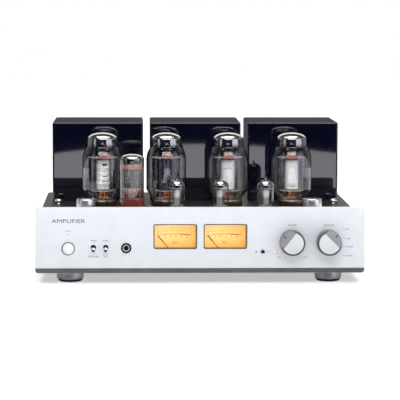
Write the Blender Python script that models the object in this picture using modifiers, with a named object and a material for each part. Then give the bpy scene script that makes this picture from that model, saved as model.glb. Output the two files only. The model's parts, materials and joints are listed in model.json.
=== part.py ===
"""Integrated valve (tube) amplifier with four large power tubes.

Thick satin aluminium front panel, folded steel chassis, three boxed
transformers at the rear, two pairs of power tubes, one octal tube and three
miniature tubes in a front row, two moving-coil level meters, a volume knob,
a source selector, a push power button and two toggle switches.

Frame: metres, +Z up, +X to the right seen from the front, +Y to the back.
The origin is on the floor under the middle of the whole object.
Dimensions below are in millimetres, measured from the front face of the
panel (y = 0) and from the floor (z = 0); at() turns them into metres.
"""
import math

import bmesh
import bpy
from mathutils import Matrix, Vector

# ------------------------------------------------------------ dimensions, mm
MM = 0.001
GAP = 0.3                       # air between pieces that touch

KNOB_DEPTH = 20.0               # knob face stands this far off the panel
REAR_REACH = 363.0              # end of the speaker posts
Y_CENTRE = (REAR_REACH - KNOB_DEPTH) / 2.0

PANEL_W, PANEL_T = 430.0, 8.0
PANEL_Z0, PANEL_Z1 = 14.4, 101.1
PANEL_CORNER = 3.5
CHAMFER_Z, CHAMFER_Y = 7.4, 5.0  # big chamfer along the lower front edge

CHASSIS_W = 424.0
CHASSIS_Y0, CHASSIS_Y1 = PANEL_T + GAP, 343.0
DECK_Z = 88.1
SHEET = 1.5

FOOT_R, FOOT_H = 17.5, PANEL_Z0 - GAP
FOOT_X, FOOT_Y_FRONT, FOOT_Y_REAR = 170.5, 38.0, 308.0

COVER_W, COVER_Y0, COVER_Y1, COVER_TOP = 127.0, 218.5, 340.5, 198.4
COVER_X = 136.9                 # centre of the outer covers
COVER_WALL = 1.5

POWER_TUBE_X = (-129.5, -42.3, 42.3, 129.5)
POWER_TUBE_Y = 145.0
SMALL_ROW_Y = 82.0
OCTAL_X = -89.0
MINI_X = (-28.9, 29.3, 90.0)

BIAS_X, BIAS_Y, BIAS_R, BIAS_TOP = 150.0, 48.0, 12.5, 108.0
PIN_X, PIN_Y = 190.7, 180.0

KNOB_R = 16.2
VOLUME_X, SELECTOR_X, KNOB_Z = 119.4, 167.4, 55.8
VOLUME_POINTER, SELECTOR_POINTER = 142.0, 45.0   # degrees from +X, front view
BUTTON_X, BUTTON_Z, BUTTON_R = -172.0, 47.4, 7.4
TOGGLE_X, TOGGLE_Z = (-139.3, -123.3), 48.8
TOGGLE_PIVOT_Y, TOGGLE_TILT = 3.0, 12.5
JACK_X, JACK_Z = -96.6, 48.0
LED_X, LED_Z = -172.0, 65.3
IR_X, IR_Z = 81.6, 43.0
MUTE_X, MUTE_Z = 97.2, 43.0

METER_X, METER_Z = 32.7, 62.8   # centre of each meter window
METER_W, METER_H = 57.0, 33.0
METER_PIVOT_Z = 37.2
NEEDLE_LEN, NEEDLE_REST = 36.6, 41.3

POST_X = (-80.0, -56.0, -32.0, 32.0, 56.0, 80.0)
REAR_Z = 50.0
RCA_X = (-190.0, -170.0, -150.0, -130.0)
RCA_Z = (42.0, 60.0)
INLET_X = 150.0

# ------------------------------------------------------------- clean start
for old in list(bpy.data.objects):
    bpy.data.objects.remove(old, do_unlink=True)
for old in list(bpy.data.meshes):
    bpy.data.meshes.remove(old)

scene = bpy.context.scene
PARTS = bpy.data.collections.new("tube_amplifier")
CUTTERS = bpy.data.collections.new("cutters")
scene.collection.children.link(PARTS)
scene.collection.children.link(CUTTERS)


# ----------------------------------------------------------------- helpers
def at(x, y, z):
    """A point given in millimetres from the panel front and the floor."""
    return Vector((x * MM, (y - Y_CENTRE) * MM, z * MM))


def finish(name, rgb, rough, metal):
    m = bpy.data.materials.new(name)
    m.use_nodes = True
    b = m.node_tree.nodes["Principled BSDF"]
    b.inputs["Base Color"].default_value = (rgb[0], rgb[1], rgb[2], 1.0)
    b.inputs["Roughness"].default_value = rough
    b.inputs["Metallic"].default_value = metal
    return m


ALU = finish("satin_aluminium", (0.80, 0.81, 0.84), 0.35, 1.0)
STEEL = finish("dark_painted_steel", (0.07, 0.075, 0.08), 0.45, 0.2)
BLACK = finish("gloss_black_lacquer", (0.01, 0.01, 0.012), 0.08, 0.0)
CHROME = finish("chrome", (0.85, 0.85, 0.86), 0.08, 1.0)
GLASS = finish("tube_glass", (0.75, 0.78, 0.80), 0.05, 0.0)
PLATE = finish("grey_anode", (0.16, 0.16, 0.17), 0.55, 0.6)
BROWN = finish("brown_base", (0.10, 0.035, 0.02), 0.35, 0.0)
PCB = finish("circuit_board", (0.05, 0.16, 0.09), 0.5, 0.0)
PLASTIC = finish("black_plastic", (0.02, 0.02, 0.02), 0.4, 0.0)
IRON = finish("laminated_iron", (0.22, 0.20, 0.19), 0.6, 0.7)
FOOTM = finish("grey_metal_foot", (0.25, 0.25, 0.26), 0.4, 0.9)
ACRYL = finish("clear_acrylic", (0.9, 0.9, 0.88), 0.03, 0.0)
NEEDLE = finish("needle_black", (0.02, 0.02, 0.02), 0.5, 0.0)


def put(name, bm, material, location=(0, 0, 0), rotation=(0, 0, 0), hidden=False):
    """Link a bmesh as an object; hidden ones are cutters and guides."""
    mesh = bpy.data.meshes.new(name)
    bm.to_mesh(mesh)
    bm.free()
    obj = bpy.data.objects.new(name, mesh)
    obj.location = location
    obj.rotation_euler = rotation
    if hidden:
        CUTTERS.objects.link(obj)
        obj.hide_render = True
        obj.display_type = 'WIRE'
    else:
        PARTS.objects.link(obj)
        mesh.materials.append(material)
    return obj


AXES = {
    'Z': Matrix.Identity(4),
    'Y': Matrix.Rotation(math.radians(-90.0), 4, 'X'),
    'X': Matrix.Rotation(math.radians(90.0), 4, 'Y'),
}


def add_box(bm, lo, hi, origin=None):
    """An axis-aligned box between two corners, in mm."""
    a, b = at(*lo), at(*hi)
    c = (a + b) / 2.0
    if origin is not None:
        c = c - origin
    d = b - a
    bmesh.ops.create_cube(bm, size=1.0, matrix=Matrix.Translation(c) @ Matrix.Diagonal((d.x, d.y, d.z, 1.0)))


def add_cyl(bm, centre, axis, r, length, segs, r2=None, origin=None):
    """A capped cylinder or cone centred on a point, in mm."""
    c = at(*centre)
    if origin is not None:
        c = c - origin
    bmesh.ops.create_cone(bm, cap_ends=True, cap_tris=False, segments=segs, radius1=r * MM,
                          radius2=(r if r2 is None else r2) * MM, depth=length * MM,
                          matrix=Matrix.Translation(c) @ AXES[axis])


def bevel_edges(bm, pick, width, segs):
    """Round the edges that pick(edge) chooses."""
    chosen = [e for e in bm.edges if pick(e)]
    bmesh.ops.bevel(bm, geom=chosen, offset=width * MM, offset_type='OFFSET', segments=segs,
                    profile=0.5, affect='EDGES', clamp_overlap=True)


def along(axis):
    """Edges that run along one axis."""
    i = 'XYZ'.index(axis)

    def pick(e):
        d = (e.verts[0].co - e.verts[1].co)
        n = d.length
        return n > 1e-9 and abs(d[i]) > 0.999 * n
    return pick


def boolean(obj, cutter, operation='DIFFERENCE'):
    m = obj.modifiers.new(operation.lower(), 'BOOLEAN')
    m.operation = operation
    m.solver = 'EXACT'
    m.object = cutter


def turned(name, profile, material, location, rotation=(0, 0, 0), segs=24, hidden=False):
    """A turned body: profile is [(radius, height)] in mm about local Z."""
    mesh = bpy.data.meshes.new(name)
    verts = [(r * MM, 0.0, z * MM) for r, z in profile]
    edges = [(i, i + 1) for i in range(len(profile) - 1)]
    mesh.from_pydata(verts, edges, [])
    obj = bpy.data.objects.new(name, mesh)
    obj.location = location
    obj.rotation_euler = rotation
    if hidden:
        CUTTERS.objects.link(obj)
        obj.hide_render = True
        obj.display_type = 'WIRE'
    else:
        PARTS.objects.link(obj)
        mesh.materials.append(material)
    s = obj.modifiers.new("turn", 'SCREW')
    s.axis = 'Z'
    s.steps = segs
    s.render_steps = segs
    s.use_merge_vertices = True
    s.merge_threshold = 0.000001
    s.use_smooth_shade = True
    return obj


def arc(cx, cz, r, a0, a1, n):
    """Points on a circle arc in the (radius, height) plane, degrees."""
    out = []
    for i in range(n + 1):
        a = math.radians(a0 + (a1 - a0) * i / n)
        out.append((cx + r * math.cos(a), cz + r * math.sin(a)))
    return out


FRONT = (math.radians(90.0), 0.0, 0.0)    # local +Z points out of the panel
REAR = (math.radians(-90.0), 0.0, 0.0)    # local +Z points out of the back

# ------------------------------------------------------------- front panel
bm = bmesh.new()
add_box(bm, (-PANEL_W / 2, 0, PANEL_Z0), (PANEL_W / 2, PANEL_T, PANEL_Z1))
bevel_edges(bm, along('Y'), PANEL_CORNER, 4)
FRONT_Y = at(0, 0, 0).y


def front_rim(e):
    a, b = e.verts
    if abs(a.co.y - FRONT_Y) > 1e-7 or abs(b.co.y - FRONT_Y) > 1e-7:
        return False
    return True


bevel_edges(bm, front_rim, 0.7, 2)
front_panel = put("front_panel", bm, ALU)

slope = Vector((0.0, -CHAMFER_Z, -CHAMFER_Y)).normalized()
bm = bmesh.new()
bmesh.ops.create_cube(bm, size=1.0, matrix=Matrix.Diagonal((0.46, 0.03, 0.03, 1.0)))
edge_mid = at(0, CHAMFER_Y / 2.0, PANEL_Z0 + CHAMFER_Z / 2.0)
wedge = put("cut_panel_chamfer", bm, None, edge_mid + slope * 0.015,
            (math.atan2(slope.z, slope.y), 0.0, 0.0), hidden=True)
boolean(front_panel, wedge)

bm = bmesh.new()
ymid = PANEL_T / 2.0
add_cyl(bm, (BUTTON_X, ymid, BUTTON_Z), 'Y', 8.5, 20, 32)
for tx in TOGGLE_X:
    add_cyl(bm, (tx, ymid, TOGGLE_Z), 'Y', 3.4, 20, 16)
add_cyl(bm, (JACK_X, ymid, JACK_Z), 'Y', 5.4, 20, 20)
add_cyl(bm, (VOLUME_X, ymid, KNOB_Z), 'Y', 5.0, 20, 16)
add_cyl(bm, (SELECTOR_X, ymid, KNOB_Z), 'Y', 5.0, 20, 16)
add_cyl(bm, (LED_X, ymid, LED_Z), 'Y', 2.2, 20, 12)
add_cyl(bm, (IR_X, ymid, IR_Z), 'Y', 3.4, 20, 16)
add_cyl(bm, (MUTE_X, ymid, MUTE_Z), 'Y', 2.3, 20, 12)
panel_holes = put("cut_panel_holes", bm, None, hidden=True)
boolean(front_panel, panel_holes)

bm = bmesh.new()
for sx in (-1, 1):
    add_box(bm, (sx * METER_X - METER_W / 2, -6, METER_Z - METER_H / 2),
            (sx * METER_X + METER_W / 2, 14, METER_Z + METER_H / 2))
bevel_edges(bm, along('Y'), 2.7, 3)
boolean(front_panel, put("cut_meter_windows", bm, None, hidden=True))

# ----------------------------------------------------------------- chassis
bm = bmesh.new()
add_box(bm, (-CHASSIS_W / 2, CHASSIS_Y0, PANEL_Z0), (CHASSIS_W / 2, CHASSIS_Y1, DECK_Z))
deck_z = at(0, 0, DECK_Z).z
rear_y = at(0, CHASSIS_Y1, 0).y


def folded(e):
    """The bends: long deck edges and the two rear corners."""
    a, b = e.verts[0].co, e.verts[1].co
    d = b - a
    if abs(a.z - deck_z) < 1e-7 and abs(b.z - deck_z) < 1e-7:
        return abs(d.y) > 0.1 or (abs(a.y - rear_y) < 1e-7 and abs(b.y - rear_y) < 1e-7)
    return abs(d.z) > 0.05 and abs(a.y - rear_y) < 1e-7


bevel_edges(bm, folded, 1.6, 1)
chassis = put("chassis", bm, STEEL)
bm = bmesh.new()
add_box(bm, (-CHASSIS_W / 2 + SHEET, CHASSIS_Y0 - 10, PANEL_Z0 - 10),
        (CHASSIS_W / 2 - SHEET, CHASSIS_Y1 - SHEET, DECK_Z - SHEET))
boolean(chassis, put("cut_chassis_inside", bm, None, hidden=True))
bm = bmesh.new()
for x in POWER_TUBE_X:
    add_cyl(bm, (x, POWER_TUBE_Y, DECK_Z), 'Z', 16.2, 8, 16)
add_cyl(bm, (OCTAL_X, SMALL_ROW_Y, DECK_Z), 'Z', 15.2, 8, 16)
for x in MINI_X:
    add_cyl(bm, (x, SMALL_ROW_Y, DECK_Z), 'Z', 12.5, 8, 12)
for x in (-BIAS_X, BIAS_X):
    add_cyl(bm, (x, BIAS_Y, DECK_Z), 'Z', 5.0, 8, 8)
for x in POST_X:
    add_cyl(bm, (x, CHASSIS_Y1, REAR_Z), 'Y', 3.4, 8, 6)
for x in RCA_X:
    for z in RCA_Z:
        add_cyl(bm, (x, CHASSIS_Y1, z), 'Y', 4.0, 8, 6)
add_box(bm, (INLET_X - 14.3, CHASSIS_Y1 - 5, REAR_Z - 10.8), (INLET_X + 14.3, CHASSIS_Y1 + 5, REAR_Z + 10.8))
boolean(chassis, put("cut_chassis_holes", bm, None, hidden=True))

# ------------------------------------------------------------ bottom cover
bm = bmesh.new()
add_box(bm, (-CHASSIS_W / 2 + SHEET + GAP, CHASSIS_Y0 + 0.4, PANEL_Z0),
        (CHASSIS_W / 2 - SHEET - GAP, CHASSIS_Y1 - SHEET - GAP, PANEL_Z0 + 1.5))
bottom_cover = put("bottom_cover", bm, STEEL)
bm = bmesh.new()
for row_y in (110.0, 240.0):
    for k in range(7):
        x = -90.0 + 30.0 * k
        add_box(bm, (x - 2.0, row_y - 19.0, PANEL_Z0 - 4), (x + 2.0, row_y + 19.0, PANEL_Z0 + 6))
boolean(bottom_cover, put("cut_vent_slots", bm, None, hidden=True))

# -------------------------------------------------------------------- feet
FOOT_PROFILE = [(0.0, FOOT_H), (FOOT_R, FOOT_H), (FOOT_R, 4.4), (FOOT_R - 1.2, 1.4), (FOOT_R - 4.0, 0.0), (0.0, 0.0)]
for tag, fx, fy in (("front_left", -FOOT_X, FOOT_Y_FRONT), ("front_right", FOOT_X, FOOT_Y_FRONT),
                    ("rear_left", -FOOT_X, FOOT_Y_REAR), ("rear_right", FOOT_X, FOOT_Y_REAR)):
    turned("foot_" + tag, FOOT_PROFILE, FOOTM, at(fx, fy, 0), segs=20)

# ------------------------------------- transformer covers and transformers
for tag, cx in (("left", -COVER_X), ("center", 0.0), ("right", COVER_X)):
    bm = bmesh.new()
    add_box(bm, (cx - COVER_W / 2, COVER_Y0, DECK_Z + GAP), (cx + COVER_W / 2, COVER_Y1, COVER_TOP))
    low = at(0, 0, DECK_Z + GAP).z
    bevel_edges(bm, lambda e: not (abs(e.verts[0].co.z - low) < 1e-7 and abs(e.verts[1].co.z - low) < 1e-7), 2.4, 3)
    cover = put("transformer_cover_" + tag, bm, BLACK)
    bm = bmesh.new()
    add_box(bm, (cx - COVER_W / 2 + COVER_WALL, COVER_Y0 + COVER_WALL, DECK_Z - 10),
            (cx + COVER_W / 2 - COVER_WALL, COVER_Y1 - COVER_WALL, COVER_TOP - COVER_WALL))
    boolean(cover, put("cut_cover_" + tag, bm, None, hidden=True))

COVER_MID = (COVER_Y0 + COVER_Y1) / 2.0
for name, cx, half_w, half_d, top in (("output_transformer_left", -COVER_X, 43.0, 24.0, 164.0),
                                      ("power_transformer", 0.0, 50.0, 30.0, 174.0),
                                      ("output_transformer_right", COVER_X, 43.0, 24.0, 164.0)):
    base = DECK_Z + GAP
    bm = bmesh.new()
    add_box(bm, (cx - half_w, COVER_MID - half_d, base), (cx + half_w, COVER_MID + half_d, top))
    core = put(name, bm, IRON)
    bm = bmesh.new()
    coil_w = half_w * 0.62
    add_box(bm, (cx - coil_w, COVER_MID - half_d - 16, base + 12), (cx + coil_w, COVER_MID + half_d + 16, top - 12))
    bevel_edges(bm, along('Z'), 8.0, 3)
    boolean(core, put("add_coil_" + name, bm, None, hidden=True), 'UNION')

# ------------------------------------------------------------- power tubes
WALL = 1.2
TUBE_OUT = [(0.0, 189.4), (10.0, 188.2), (17.0, 185.6), (19.9, 183.2), (20.9, 180.0), (20.9, 170.2),
            (23.4, 166.6), (26.2, 159.0), (27.2, 153.0), (27.2, 112.4), (25.2, 108.0), (19.0, 99.6), (17.9, 98.2), (17.9, 92.4)]
TUBE_IN = [(16.7, 92.4), (16.7, 98.6), (24.0, 109.0), (26.0, 113.0), (26.0, 152.6), (22.2, 166.2),
           (19.7, 170.6), (19.7, 179.6), (16.4, 184.2), (9.8, 186.9), (0.0, 188.1)]
BASE = [(0.0, 92.1), (18.6, 92.1), (18.6, 97.6), (19.8, 97.6), (19.8, DECK_Z + GAP),
        (4.0, DECK_Z + GAP), (4.0, 77.2), (0.0, 77.2)]
CAGE = [(0.0, 172.0), (6.5, 172.0), (1.4, 169.6), (1.4, 156.2), (19.0, 156.2), (19.0, 155.0), (5.0, 155.0),
        (5.0, 110.2), (15.5, 110.2), (15.5, 109.0), (7.0, 106.5), (8.5, 92.6), (0.0, 92.6)]
for i, tx in enumerate(POWER_TUBE_X):
    tag = "power_tube_%d_" % (i + 1)
    spot = at(tx, POWER_TUBE_Y, 0)
    turned(tag + "bulb", TUBE_OUT + TUBE_IN, GLASS, spot, segs=14)
    turned(tag + "base", BASE, BROWN, spot, segs=16)
    cage = turned(tag + "electrodes", CAGE, PLATE, spot, segs=10)
    bm = bmesh.new()
    add_box(bm, (-15.0, Y_CENTRE - 8.5, 111.5), (15.0, Y_CENTRE + 8.5, 152.0))
    bevel_edges(bm, along('Z'), 4.0, 1)
    anode = put("add_anode_%d" % (i + 1), bm, None, at(tx, POWER_TUBE_Y, 0), hidden=True)
    boolean(cage, anode, 'UNION')

# -------------------------------------------------------------- octal tube
spot = at(OCTAL_X, SMALL_ROW_Y, 0)
turned("rectifier_tube_bulb",
       [(0.0, 162.3), (6.5, 161.6), (12.0, 158.6), (15.2, 154.6), (16.0, 150.5), (16.0, 111.0), (14.3, 106.9), (14.3, 97.5),
        (13.1, 97.5), (13.1, 107.4), (14.8, 111.6), (14.8, 150.2), (14.0, 153.8), (11.2, 157.4), (6.2, 160.4), (0.0, 161.1)],
       GLASS, spot, segs=14)
turned("rectifier_tube_base",
       [(0.0, 97.2), (15.0, 97.2), (15.0, 106.3), (16.7, 106.3), (16.7, DECK_Z + GAP),
        (4.0, DECK_Z + GAP), (4.0, 77.2), (0.0, 77.2)], BROWN, spot, segs=16)
cage = turned("rectifier_tube_electrodes",
              [(0.0, 153.0), (5.0, 153.0), (1.2, 151.4), (1.2, 145.6), (12.4, 145.6), (12.4, 144.8), (4.0, 144.8),
               (4.0, 118.6), (12.4, 118.6), (12.4, 117.8), (5.0, 112.0), (6.0, 97.7), (0.0, 97.7)], PLATE, spot, segs=10)
bm = bmesh.new()
add_box(bm, (-10.2, Y_CENTRE - 6.0, 120.0), (10.2, Y_CENTRE + 6.0, 143.4))
boolean(cage, put("add_anode_octal", bm, None, spot, hidden=True), 'UNION')

# --------------------------------------------------------- miniature tubes
for i, tx in enumerate(MINI_X):
    spot = at(tx, SMALL_ROW_Y, 0)
    turned("driver_tube_%d_bulb" % (i + 1),
           [(0.0, 134.0), (1.4, 132.6), (2.1, 128.4), (8.4, 125.2), (11.3, 118.4), (11.3, 84.6),
            (10.3, 84.6), (10.3, 118.0), (7.6, 124.0), (0.0, 126.6)], GLASS, spot, segs=12)
    cage = turned("driver_tube_%d_electrodes" % (i + 1),
                  [(0.0, 121.6), (3.4, 121.2), (0.9, 120.2), (0.9, 115.4), (9.0, 115.4), (9.0, 114.6), (3.0, 114.6),
                   (3.0, 93.4), (9.0, 93.4), (9.0, 92.6), (6.6, 84.9), (0.0, 84.9)], PLATE, spot, segs=8)
    bm = bmesh.new()
    add_box(bm, (-6.6, Y_CENTRE - 3.4, 95.0), (6.6, Y_CENTRE + 3.4, 113.2))
    boolean(cage, put("add_anode_mini_%d" % (i + 1), bm, None, spot, hidden=True), 'UNION')

# -------------------------------------- tube socket boards under the deck
SOCKET_TOP = DECK_Z
bm = bmesh.new()
add_box(bm, (-158, POWER_TUBE_Y - 24, 66.0), (158, POWER_TUBE_Y + 24, 67.6))
power_board = put("power_socket_board", bm, PCB)
bm = bmesh.new()
for x in POWER_TUBE_X:
    add_cyl(bm, (x, POWER_TUBE_Y, (66.8 + SOCKET_TOP) / 2), 'Z', 15.4, SOCKET_TOP - 66.8, 16)
for x in (-152.0, 0.0, 152.0):
    for dy in (-19.0, 19.0):
        add_cyl(bm, (x, POWER_TUBE_Y + dy, (66.8 + DECK_Z - SHEET - GAP) / 2), 'Z', 2.5, DECK_Z - SHEET - GAP - 66.8, 6)
boolean(power_board, put("add_power_sockets", bm, None, hidden=True), 'UNION')
bm = bmesh.new()
for x in POWER_TUBE_X:
    add_cyl(bm, (x, POWER_TUBE_Y, 82.0), 'Z', 4.7, 20, 8)
boolean(power_board, put("cut_power_keyways", bm, None, hidden=True))

bm = bmesh.new()
add_box(bm, (-112, SMALL_ROW_Y - 19, 68.4), (112, SMALL_ROW_Y + 19, 70.0))
driver_board = put("driver_board", bm, PCB)
bm = bmesh.new()
add_cyl(bm, (OCTAL_X, SMALL_ROW_Y, (69.2 + SOCKET_TOP) / 2), 'Z', 14.4, SOCKET_TOP - 69.2, 16)
for x in MINI_X:
    add_cyl(bm, (x, SMALL_ROW_Y, (69.2 + 84.2) / 2), 'Z', 10.5, 84.2 - 69.2, 10)
for x in (-58.0, 106.0):
    for dy in (-14.0, 14.0):
        add_cyl(bm, (x, SMALL_ROW_Y + dy, (69.2 + DECK_Z - SHEET - GAP) / 2), 'Z', 2.5, DECK_Z - SHEET - GAP - 69.2, 6)
boolean(driver_board, put("add_driver_sockets", bm, None, hidden=True), 'UNION')
bm = bmesh.new()
add_cyl(bm, (OCTAL_X, SMALL_ROW_Y, 82.0), 'Z', 4.7, 20, 8)
boolean(driver_board, put("cut_octal_keyway", bm, None, hidden=True))

# ----------------------------------------------------- power supply board
bm = bmesh.new()
add_box(bm, (-150, 196, 46.0), (150, 316, 47.6))
supply = put("power_supply_board", bm, PCB)
bm = bmesh.new()
for x in (-96.0, -32.0, 32.0, 96.0):
    add_cyl(bm, (x, 236.0, 62.8), 'Z', 15.0, 32.0, 12)
for x in (-120.0, 120.0):
    add_box(bm, (x - 14, 276, 47.0), (x + 14, 304, 66.0))
for x in (-144.0, 0.0, 144.0):
    for y in (202.0, 310.0):
        add_cyl(bm, (x, y, (46.8 + DECK_Z - SHEET - GAP) / 2), 'Z', 2.5, DECK_Z - SHEET - GAP - 46.8, 6)
boolean(supply, put("add_supply_parts", bm, None, hidden=True), 'UNION')

# ------------------------------------------- bias caps and cage guard pins
for tag, sx in (("left", -1), ("right", 1)):
    turned("bias_cap_" + tag,
           [(0.0, BIAS_TOP), (BIAS_R - 1.4, BIAS_TOP), (BIAS_R, BIAS_TOP - 1.4), (BIAS_R, DECK_Z + GAP),
            (BIAS_R - 1.6, DECK_Z + GAP), (BIAS_R - 1.6, BIAS_TOP - 1.8), (0.0, BIAS_TOP - 1.8)],
           CHROME, at(sx * BIAS_X, BIAS_Y, 0), segs=20)
    turned("guard_pin_" + tag,
           [(0.0, 95.2), (3.4, 94.6), (5.4, 92.8), (5.4, 91.2), (4.6, 90.2), (2.2, 90.2), (2.2, DECK_Z + GAP), (0.0, DECK_Z + GAP)],
           CHROME, at(sx * PIN_X, PIN_Y, 0), segs=14)

# ------------------------------------------------------------ power button
turned("power_button",
       [(0.0, 4.6), (4.6, 4.3), (6.8, 3.5), (BUTTON_R, 2.2), (BUTTON_R, -6.0), (2.5, -6.0), (2.5, -11.4), (0.0, -11.4)],
       ALU, at(BUTTON_X, 0, BUTTON_Z), FRONT, segs=20)

# ---------------------------------------------- control board and switches
bm = bmesh.new()
add_box(bm, (-186, 27.0, 30.0), (-112, 28.6, 78.0))
control = put("control_board", bm, PCB)
bm = bmesh.new()
add_box(bm, (BUTTON_X - 7, 15.2, BUTTON_Z - 7), (BUTTON_X + 7, 27.4, BUTTON_Z + 7))
for tx in TOGGLE_X:
    add_box(bm, (tx - 6.2, 9.4, TOGGLE_Z - 6.4), (tx + 6.2, 27.4, TOGGLE_Z + 6.4))
boolean(control, put("add_switch_bodies", bm, None, hidden=True), 'UNION')
bm = bmesh.new()
for tx in TOGGLE_X:
    add_cyl(bm, (tx, 6.4, TOGGLE_Z), 'Y', 3.05, 10.4, 16)
add_cyl(bm, (LED_X, 14.4, LED_Z), 'Y', 1.8, 27.0, 12)
boolean(control, put("add_bushings_and_led", bm, None, hidden=True), 'UNION')
bm = bmesh.new()
for tx in TOGGLE_X:
    add_cyl(bm, (tx, 2.4, TOGGLE_Z), 'Y', 2.35, 6.0, 14)
boolean(control, put("cut_bushing_bores", bm, None, hidden=True))

# ---------------------------------------------------------- toggle levers
LEVER = [(0.0, 13.6), (1.8, 13.2), (2.9, 11.9), (3.05, 10.6), (2.5, 8.2), (1.1, 2.4), (1.75, 0.4), (1.4, -1.1), (0.0, -1.7)]
for tag, tx in zip(("left", "right"), TOGGLE_X):
    turned("toggle_lever_" + tag, LEVER, CHROME, at(tx, TOGGLE_PIVOT_Y, TOGGLE_Z),
           (math.radians(90.0 + TOGGLE_TILT), 0.0, 0.0), segs=12)

# ---------------------------------------------------------- headphone jack
turned("headphone_jack",
       [(0.0, -26.0), (3.25, -26.0), (3.25, 1.1), (5.4, 1.6), (6.3, 1.4), (6.85, 0.3), (5.0, 0.3), (5.0, -9.0), (8.5, -9.0), (8.5, -29.0), (0.0, -29.0)],
       PLASTIC, at(JACK_X, 0, JACK_Z), FRONT, segs=20)

# ------------------------------------------------------------------- knobs
KNOB = [(0.0, KNOB_DEPTH), (KNOB_R - 1.7, KNOB_DEPTH), (KNOB_R - 1.3, KNOB_DEPTH - 0.15), (KNOB_R, KNOB_DEPTH - 1.6),
        (KNOB_R, 1.2), (KNOB_R - 0.6, 0.5), (3.0, 0.5), (3.0, -20.0), (0.0, -20.0)]
for name, kx, pointer in (("volume_knob", VOLUME_X, VOLUME_POINTER), ("selector_knob", SELECTOR_X, SELECTOR_POINTER)):
    place = at(kx, 0, KNOB_Z)
    knob = turned(name, KNOB, ALU, place, FRONT, segs=32)
    p = math.radians(pointer)
    turn = Matrix.Rotation(math.radians(90.0), 4, 'X')
    # a sloping facet on the pointer side, falling away from a straight chord
    tilt = math.radians(13.0)
    n = Vector((math.sin(tilt) * math.cos(p), math.sin(tilt) * math.sin(p), math.cos(tilt)))
    chord = Vector((math.cos(p), math.sin(p), 0.0)) * (0.30 * KNOB_R * MM) + Vector((0, 0, KNOB_DEPTH * MM))
    u = Vector((-math.sin(p), math.cos(p), 0.0))
    w = u.cross(n)
    frame = Matrix((u, w, n)).transposed().to_4x4()
    bm = bmesh.new()
    bmesh.ops.create_cube(bm, size=1.0, matrix=Matrix.Diagonal((0.05, 0.05, 0.012, 1.0)))
    cutter = put("cut_facet_" + name, bm, None, hidden=True)
    cutter.matrix_world = Matrix.Translation(place) @ turn @ Matrix.Translation(chord + n * 0.006) @ frame
    boolean(knob, cutter)
    # pointer groove across the facet at the rim
    bm = bmesh.new()
    bmesh.ops.create_cube(bm, size=1.0, matrix=Matrix.Diagonal((0.0013, 0.0046, 0.002, 1.0)))
    mark = chord + (-w if (-w).dot(Vector((math.cos(p), math.sin(p), 0.0))) > 0 else w) * (8.6 * MM) + n * (0.0010 - 0.0005)
    groove = put("cut_pointer_" + name, bm, None, hidden=True)
    groove.matrix_world = Matrix.Translation(place) @ turn @ Matrix.Translation(mark) @ frame
    boolean(knob, groove)

# ------------------------------------------- potentiometer and selector
turned("volume_pot",
       [(0.0, -22.0), (3.3, -22.0), (3.3, -0.4), (4.6, -0.4), (4.6, -9.0), (13.0, -9.0), (13.0, -33.0), (0.0, -33.0)],
       STEEL, at(VOLUME_X, 0, KNOB_Z), FRONT, segs=16)
turned("selector_switch",
       [(0.0, -22.0), (3.3, -22.0), (3.3, -0.4), (4.6, -0.4), (4.6, -9.0), (15.0, -9.0), (15.0, -16.0), (11.0, -17.0), (11.0, -19.0),
        (16.0, -20.0), (16.0, -26.0), (0.0, -26.0)],
       PLASTIC, at(SELECTOR_X, 0, KNOB_Z), FRONT, segs=16)

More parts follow.
